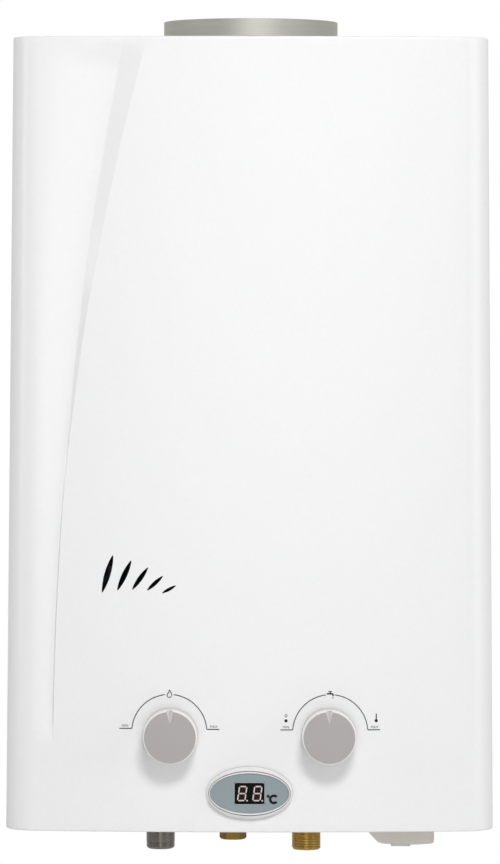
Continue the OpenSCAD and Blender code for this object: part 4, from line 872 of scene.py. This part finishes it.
def knob(name, x, node):
    """Knob: a tapering skirt painted lighter as painted light, a bevelled edge painted white as a
    painted highlight, and a wedge-shaped groove that points up, its walls painted paler as painted
    light.
    """
    highlight_band = 9.0
    bevel_high = 1.0
    bevel_wide = 0.8
    foot_r = KNOB_R + 0.3
    edge_r = KNOB_FACE_R + 0.55
    flat_r = edge_r - bevel_wide
    outline = [
        (0.0, KNOB_HOLLOW), (KNOB_FACE_R - KNOB_WALL, KNOB_HOLLOW), (KNOB_R - KNOB_WALL, 0.0),
        (foot_r, 0.0), (edge_r + 0.1, KNOB_H - highlight_band), (edge_r, KNOB_H - bevel_high), (flat_r, KNOB_H),
        (0.0, KNOB_H),
    ]
    profile = soften(outline, [0, 0.5, 0.3, 0.5, 0, 0.12, 0.12, 0])
    place = facing(x, KNOB_Y, KNOB_Z)
    knob_body = piece(name, *turned(profile, place, steps=128))
    # Wedge that cuts the groove: it starts inside the face, and runs past the rim
    reach = 9.0
    past = 3.0
    rim_wide = 5.2
    rim_deep = 3.0
    above = KNOB_H + 4.0
    more = (reach + past) / reach
    wide = rim_wide / 2 * more
    deep = rim_deep * more
    start = KNOB_FACE_R - reach
    end = KNOB_FACE_R + past
    wedge = [(0, start, KNOB_H), (-wide, end, KNOB_H), (0, end, KNOB_H - deep), (wide, end, KNOB_H),
             (0, start, above), (-wide, end, above), (wide, end, above)]
    faces = [(0, 2, 1), (0, 3, 2), (0, 1, 5, 4), (0, 4, 6, 3), (4, 5, 6), (1, 2, 3, 6, 5)]
    cut(knob_body, [([place(*p) for p in wedge], faces)])
    dress(knob_body, knob_grey, crisp=18.0)
    # Skirt, edge and groove take lacquers painted lighter than the face: painted light and a painted
    # highlight
    for look in (knob_skirt_painted_light, knob_edge_painted_highlight, knob_groove_painted_light):
        knob_body.data.materials.append(look)
    # Past the flat face lie the edge painted white as a painted highlight and the skirt painted lighter
    # as painted light. Inside it, only the groove's walls lean, and they take the groove's painted
    # light.
    highlight_band_y = (KNOB_Y - KNOB_H + highlight_band) * MM
    for face in knob_body.data.polygons:
        off_axis = math.hypot(face.center.x - x * MM, face.center.z - KNOB_Z * MM)
        if off_axis > (flat_r - 0.1) * MM:
            face.material_index = 2 if face.center.y < highlight_band_y else 1
        elif -0.99 < face.normal.y < -0.3:
            face.material_index = 3
    belongs(knob_body, node, "knob_grey", node)


# Section of the display's rim: share of the way from its outer oval to its inner one, and height
RIM_SECTION = [
    (0.0, -0.45), (0.0, 0.5), (0.02, 0.9), (0.08, 1.7), (0.27, 3.3), (0.46, 4.75), (0.52, 5.1),
    (0.57, 5.2), (0.6, 5.1), (0.62, 4.4), (0.69, 4.4), (0.71, 5.3), (0.76, 5.8), (0.84, 6.0),
    (0.92, 5.9), (0.97, 5.6), (1.0, 5.1), (1.0, 3.45), (1.9, 3.45), (1.9, -11.9), (1.45, -11.9),
    (1.45, -0.45),
]
# Steps of that section that are painted grey as painted shade: the wall at its foot and the groove
# inside the band
RIM_PAINTED_SHADE = (0, 1, 8, 9, 10)


def display_rim():
    """Rounded oval rim of the display, with its neck through the cover, and painted shade at its foot
    and in its groove.
    """
    steps = 128
    verts = []
    for i in range(steps):
        a = 2 * math.pi * i / steps
        for share, height in RIM_SECTION:
            half = [BEZEL_HALF[k] + (PANEL_HALF[k] - BEZEL_HALF[k]) * share for k in (0, 1)]
            verts.append((half[0] * math.cos(a), FRONT - height, DISPLAY_Z + half[1] * math.sin(a)))
    n = len(RIM_SECTION)
    rim = piece("display_rim", verts, around(steps, n))
    dress(rim, rim_white)
    rim.data.materials.append(rim_painted_shade)
    # Painted shade: the wall at the rim's foot and its groove take the grey
    for face in rim.data.polygons:
        if face.index % n in RIM_PAINTED_SHADE:
            face.material_index = 1
    belongs(rim, "heater", "bezel_silver", "display_bezel")


def oblong(half_w, half_h):
    """Outline of a rectangle with the given half sizes."""
    return [(-half_w, -half_h), (half_w, -half_h), (half_w, half_h), (-half_w, half_h)]


def on_panel(films):
    """Surface over a number of films on the display's panel."""
    return lambda x, z: PANEL_FRONT - films * FILM


def display_window():
    """Dark window of the display with a pale line round it, and the mask of each digit."""
    edge = [(p.x, DISPLAY_Z + p.y) for p in soften(oblong(*WINDOW_HALF), [WINDOW_R] * 4)]
    printed("window_film", [patch(edge)], smoked_acrylic, on_panel(0), "window_black")
    line = 0.45
    printed("window_line", [strip(edge + edge[:2], line)], line_pale, on_panel(0), "panel_blue")
    cell = oblong(*DIGIT_HALF)
    masks = [patch([(x + u + DIGIT_SLANT * v, DISPLAY_Z + v) for u, v in cell]) for x in DIGIT_X]
    printed("digit_mask", masks, mask_red, on_panel(1), "window_black")


def display_digits():
    """Seven segments and a point for each digit, and the mark of the unit beside them."""
    half_long = 2.25
    tip = 0.45
    outline = [(-half_long, 0), (-half_long + tip, tip), (half_long - tip, tip), (half_long, 0),
               (half_long - tip, -tip), (-half_long + tip, -tip)]
    bar = piece("segment", *prism(outline, facing(0.0, 0.0, 0.0), 0.0, FILM))
    side_x = 2.6
    side_z = 2.5
    lying = (0.0, 0.0, 0.0)
    standing = (0.0, -82.0, 0.0)
    spots = [(0, 2 * side_z, lying), (0, 0, lying), (0, -2 * side_z, lying)]
    spots += [(side * side_x, up * side_z, standing) for side in (-1, 1) for up in (-1, 1)]
    places = []
    for x in DIGIT_X:
        for u, v, turn in spots:
            places.append(((x + u + DIGIT_SLANT * v, PANEL_FRONT - 2 * FILM, DISPLAY_Z + v), turn))
    digits = copies("digit_segments", bar, places, segment_white)
    dress(digits, segment_white)
    belongs(digits, "heater", "window_black")
    point_x = 3.5
    point_z = DISPLAY_Z - 5.1
    dots = [disc((x + point_x, point_z), 0.6) for x in DIGIT_X]
    printed("digit_points", dots, segment_white, on_panel(2), "window_black")
    letter_at = (17.3, DISPLAY_Z - 4.1)
    degree_at = (13.2, DISPLAY_Z - 1.9)
    letter = strip(arc(letter_at, 2.6, 40.0, 320.0, steps=32), 1.8)
    degree = strip(arc(degree_at, 0.6, 0.0, 360.0, steps=20), 1.0)
    printed("unit_mark", [letter, degree], ink_black, on_panel(0), "panel_blue")


def flue():
    """Collar of the flue: a tube with a foot, a stop bead and a rolled upper edge."""
    inner = FLUE_R - FLUE_SHEET
    flange = FLUE_R + FLUE_FLANGE
    bead = FLUE_R + FLUE_BEAD
    foot = FLUE_FOOT + FLUE_SHEET
    outline = [
        (inner, FLUE_FOOT), (flange, FLUE_FOOT), (flange, foot), (FLUE_R, foot), (FLUE_R, BEAD_FOOT),
        (bead, BEAD_FOOT), (bead, BEAD_EDGE), (FLUE_R, BEAD_END), (FLUE_R, FLUE_TOP), (inner, FLUE_TOP),
    ]
    profile = soften(outline, [0.3, 0.4, 0.4, 0.8, 0, 0.8, 0.9, 1.2, 0.45, 0.45])
    tube = piece("flue_tube", *turned(profile, upright(0.0, FLUE_Y), steps=192))
    dress(tube, flue_steel)
    belongs(tube, "heater", "flue_metal", "flue_collar")


# Upper part of both stubs: bore, sleeve, flange and neck
STUB_HEAD = [
    (STUB_BORE_R, STUB_TOP), (STUB_SLEEVE_R, STUB_TOP), (STUB_SLEEVE_R, STUB_FLANGE_TOP),
    (STUB_FLANGE_R, STUB_FLANGE_TOP), (STUB_FLANGE_R, STUB_FLANGE_FOOT), (STUB_NECK_R, STUB_FLANGE_FOOT),
    (STUB_NECK_R, STUB_NECK_FOOT),
]


def hot_stub():
    """Dark outlet: smooth sleeve with one turned groove and a bevelled end."""
    r = THREAD_R - 0.1
    groove_r = r - 0.35
    end_r = r - 0.1
    outline = STUB_HEAD + [
        (r, -285.4), (r, -301.0), (groove_r, -301.3), (groove_r, -301.6), (end_r, -301.9),
        (end_r, -304.6), (r - 1.5, STUB_FOOT), (STUB_BORE_R, STUB_FOOT),
    ]
    profile = soften(outline, [0.2] * 7 + [0.4] + [0.1] * 4 + [0.4, 0.5, 0.4])
    stub = piece("hot_stub", *turned(profile, upright(HOT_X, HOT_Y), steps=128))
    dress(stub, black_nickel)
    belongs(stub, "heater", "dark_fitting", "hot_outlet")


def cold_stub():
    """Brass inlet: pipe stub with a half-inch parallel pipe thread whose crests are worn flat."""
    pitch = 1.814
    turns = 10.0
    depth = 0.45
    sunk = 0.05
    root_wide = 0.94 * pitch
    crest_wide = 0.72 * pitch
    thread_foot = -304.6
    root = THREAD_R - depth
    outline = STUB_HEAD + [
        (root, -285.6), (root, -305.0), (root - 0.7, STUB_FOOT), (STUB_BORE_R, STUB_FOOT),
    ]
    profile = soften(outline, [0.2] * len(outline))
    core = piece("cold_stub", *turned(profile, upright(COLD_X, STUB_Y), steps=128))
    dress(core, brass)
    belongs(core, "heater", "brass", "cold_inlet")
    ridge = piece("cold_thread", [(0, 0, 0)], [], mend=False)
    grown(ridge, THREAD, {
        "Root radius": (root + depth / 2 - sunk) * MM, "Length": turns * pitch * MM, "Turns": turns,
        "Root width": root_wide * MM, "Crest width": crest_wide * MM, "Depth": depth * MM, "Look": brass,
    })
    for v in ridge.data.vertices:
        v.co += Vector((COLD_X, STUB_Y, thread_foot)) * MM
    closed(ridge.data)
    dress(ridge, brass, crisp=40.0)
    belongs(ridge, "heater", "brass")


def door_tray():
    """Battery door: an open tray with rounded corners and a sloping lip on the left."""
    front = STUB_Y - DOOR_D / 2
    back = STUB_Y + DOOR_D / 2
    loop = [(-DOOR_HALF, DOOR_Z0 + 0.9), (-5.0, DOOR_Z0), (7.0, DOOR_Z0), (DOOR_HALF, DOOR_Z0 + 0.8),
            (DOOR_HALF, DOOR_Z1), (-DOOR_HALF - DOOR_LIP, DOOR_Z1)]
    outline = [(BATTERY_X + p.x, p.y) for p in soften(loop, [9.0, 30.0, 30.0, 3.0, 0, 0])]
    n = len(outline)
    verts = [(x, front, z) for x, z in outline] + [(x, back, z) for x, z in outline]
    faces = [tuple(range(n)), tuple(range(2 * n - 1, n - 1, -1))]
    faces += [(i + 1, i, n + i, n + i + 1) for i in range(n - 2)]
    faces.append((0, n - 1, 2 * n - 1, n))
    tray = piece("door_tray", verts, faces, mend=False)
    bevelled(tray, width=2.2, segments=4, least_turn=50.0)
    walled(tray, DOOR_WALL)
    settled(tray)
    for v in tray.data.vertices:
        v.co.z = min(v.co.z, DOOR_Z1 * MM)
    dress(tray, pale_abs)
    belongs(tray, "battery_door", "pale_plastic", "battery_door")


def door_fittings():
    """Two hinge knuckles of the battery door, each with its arm, and a pull tab under its front."""
    pin_r = 1.3
    barrel_r = 2.65
    outline = [(pin_r, 0.0), (barrel_r, 0.0), (barrel_r, KNUCKLE_LONG), (pin_r, KNUCKLE_LONG)]
    barrel = soften(outline, [0, 0.3, 0.3, 0])
    parts = []
    for y in KNUCKLE_Y:
        parts.append(turned(barrel, backward(HINGE_X, y, HINGE_Z), steps=40))
        parts.append(block((HINGE_X - 3.95, y, -290.3), (HINGE_X - 1.6, y + KNUCKLE_LONG, DOOR_Z1)))
    tab_x = BATTERY_X - DOOR_HALF + 9.0
    tab_y = STUB_Y - DOOR_D / 2
    tab_low = (tab_x, tab_y + 0.6, DOOR_Z0 - 1.0)
    tab_high = (tab_x + 14.0, tab_y + 10.0, DOOR_Z0 + 0.9)
    parts.append(block(tab_low, tab_high))
    fittings = piece("door_fittings", *joined(parts))
    bevelled(fittings, width=0.35, segments=2, least_turn=60.0)
    settled(fittings)
    dress(fittings, pale_abs)
    belongs(fittings, "battery_door", "pale_plastic")


def cover_screws():
    """Screws that hold the cover: pan heads with a cross recess."""
    shank_r = 1.9
    shank_long = 7.0
    head_r = 3.7
    head_high = 2.2
    slot_half = 0.4
    slot_reach = 1.9
    slot_foot = 1.0
    slot_top = 3.0
    outline = [(0.0, -shank_long), (shank_r, -shank_long), (shank_r, 0.0), (head_r, 0.0), (head_r, 1.2),
               (head_r - 0.8, head_high), (0.0, head_high)]
    profile = soften(outline, [0, 0.3, 0, 0.2, 0.9, 0.9, 0])
    screw = piece("screw", *turned(profile, upright(0.0, 0.0), steps=40))
    for wide, deep in ((slot_reach, slot_half), (slot_half, slot_reach)):
        cut(screw, [block((-wide, -deep, slot_foot), (wide, deep, slot_top))])
    side_y = -10.0
    side_z = (-205.0, 205.0)
    foot_x = 166.8
    foot_y = -100.0
    places = []
    lean = math.degrees(TAPER)
    for side in (-1, 1):
        for z in side_z:
            x = side * HALF_W * width_share(z)
            places.append(((x, side_y, z), (0.0, side * (90.0 - lean), 0.0)))
        places.append(((side * foot_x, foot_y, Z_BOT), (180.0, 0.0, 0.0)))
    heads = copies("cover_screw_heads", screw, places, plated)
    dress(heads, plated)
    belongs(heads, "heater", "plated_steel", "cover_screws")


front_cover()
dial_print()
knob("gas_knob_body", -KNOB_X, "gas_knob")
knob("water_knob_body", KNOB_X, "water_knob")
display_rim()
display_window()
display_digits()
flue()
hot_stub()
cold_stub()
door_tray()
door_fittings()
cover_screws()

# Finishes of the CAD nodes that are shown as they are
LOOKS = {
    zinc: ["back_plate", "draft_hood", "exchanger_brackets", "valve_bracket", "electrode_bracket"],
    sooted_sheet: ["burner_frame"],
    dark_copper: ["chamber_shell"],
    panel_enamel: ["top_panel", "bottom_panel"],
    copper: ["fin_pack", "exchanger_tubes", "chamber_coil", "cold_riser", "hot_pipe"],
    dull_brass: ["gas_inlet"],
    brass: ["union_nut", "gas_jets", "water_valve_body", "water_valve_cap", "water_sensor",
            "gas_spindle", "water_spindle"],
    burner_steel: ["burner_bars"],
    die_cast: ["gas_manifold", "gas_valve_body"],
    plated: ["valve_screws", "pushrod", "microswitch_lever", "battery_contacts", "door_contact",
             "hinge_pin", "spark_electrode", "flame_sensor"],
    black_abs: ["solenoid_valve", "igniter_module", "overheat_switch"],
    red_abs: ["microswitch"],
    pale_abs: ["battery_box"],
    rubber: ["diaphragm"],
    alumina: ["electrode_insulators"],
    red_silicone: ["spark_lead", "battery_lead"],
    white_silicone: ["flame_lead"],
    black_silicone: ["solenoid_lead", "switch_lead", "display_lead"],
    cell_film: ["battery_cells"],
    blue_film: ["display_panel"],
    smoked_acrylic: ["display_module"],
    board_green: ["display_board"],
}
for look, names in LOOKS.items():
    for name in names:
        mesh = frame["nodes"][name].data
        mesh.materials.clear()
        mesh.materials.append(look)


def ground():
    """Pale floor under the part, in metres."""
    reach = 4.0
    level = -0.9
    corners = [(x, y, level) for x, y in oblong(reach, reach)]
    floor_mesh = bpy.data.meshes.new("floor")
    floor_mesh.from_pydata(corners, [], [(0, 1, 2, 3)])
    floor = bpy.data.objects.new("floor", floor_mesh)
    SHELF.link(floor)
    # Matt painted floor: pale and even
    floor_mesh.materials.append(finish_of("matt_floor", "E6E6E6", "EBEBEB", 60.0, (0.7, 0.8)))


def surroundings():
    """White world that looks even, and whose light is strongest from above, behind and the sides."""
    slope = (0.0, -0.07, 0.34)
    behind_share = 0.85
    side_share = 0.38
    world = bpy.data.worlds.new("white_studio")
    world.use_nodes = True
    tree = world.node_tree
    tree.nodes.clear()
    ray = add(tree, "ShaderNodeLightPath")
    way = add(tree, "ShaderNodeTexCoord").outputs["Generated"]
    lean = add(tree, "ShaderNodeVectorMath", {0: way, 1: slope}, operation="DOT_PRODUCT")
    across = add(tree, "ShaderNodeVectorMath", {0: way, 1: (1.0, 0.0, 0.0)}, operation="DOT_PRODUCT")
    sides = add(tree, "ShaderNodeMath", {0: across.outputs["Value"], 1: 2.0}, operation="POWER")
    back = add(tree, "ShaderNodeVectorMath", {0: way, 1: (0.0, 1.0, 0.0)}, operation="DOT_PRODUCT")
    behind = add(tree, "ShaderNodeMath", {0: back.outputs["Value"], 1: 0.0}, operation="MAXIMUM")
    base = add(tree, "ShaderNodeMath", {0: behind.outputs[0], 1: behind_share}, operation="MULTIPLY")
    both = add(tree, "ShaderNodeMath", {0: sides.outputs[0], 1: side_share, 2: base.outputs[0]},
               operation="MULTIPLY_ADD")
    level = add(tree, "ShaderNodeMath", {0: lean.outputs["Value"], 1: both.outputs[0]}, operation="ADD",
                use_clamp=True)
    light = add(tree, "ShaderNodeBackground", {"Color": linear("FFFFFF"), "Strength": level.outputs[0]})
    seen = add(tree, "ShaderNodeBackground", {"Color": linear("FFFFFF"), "Strength": 1.0})
    mixed = add(tree, "ShaderNodeMixShader", {
        0: ray.outputs["Is Camera Ray"], 1: light.outputs[0], 2: seen.outputs[0],
    })
    add(tree, "ShaderNodeOutputWorld", {"Surface": mixed.outputs[0]})
    bpy.context.scene.world = world


# Soft lights that point at the middle of the front: name, place and size in metres, power in watts
SOFTBOXES = (
    ("key_softbox", (0.3, -2.3, 1.5), (0.8, 0.6), 33.0),
    ("right_softbox", (2.4, -1.2, 0.4), (1.6, 1.8), 9.0),
    ("front_softbox", (0.1, -4.2, 0.1), (1.8, 1.0), 13.0),
    ("left_strip", (-2.2, -0.9, 0.5), (0.5, 1.6), 5.0),
    ("low_strip", (-0.05, -3.0, -0.62), (0.7, 0.3), 0.5),
)


def lights():
    """Soft lights, not seen by the camera."""
    target = Vector((0.0, FRONT, 0.0)) * MM
    for name, place, size, power in SOFTBOXES:
        lamp = bpy.data.lights.new(name, "AREA")
        lamp.shape = "RECTANGLE"
        lamp.size, lamp.size_y = size
        lamp.energy = power
        box = bpy.data.objects.new(name, lamp)
        SHELF.link(box)
        box.location = place
        box.visible_camera = False
        aim = target - box.location
        box.rotation_euler = aim.to_track_quat("-Z", "Y").to_euler()


def camera():
    """Long lens straight at the front, with the photograph's framing and its slight lean."""
    lens = bpy.data.cameras.new("photo_lens")
    lens.lens = 192.9
    lens.sensor_width = 36.0
    lens.shift_x = -0.0005
    lens.shift_y = -0.1842
    eye = bpy.data.objects.new("photo_camera", lens)
    SHELF.link(eye)
    eye.location = (0.0, -3.47, 0.115)
    eye.rotation_euler = (math.radians(90.0), math.radians(-0.1), 0.0)
    bpy.context.scene.camera = eye


ground()
surroundings()
lights()
camera()
bpy.context.scene.view_settings.view_transform = "Standard"
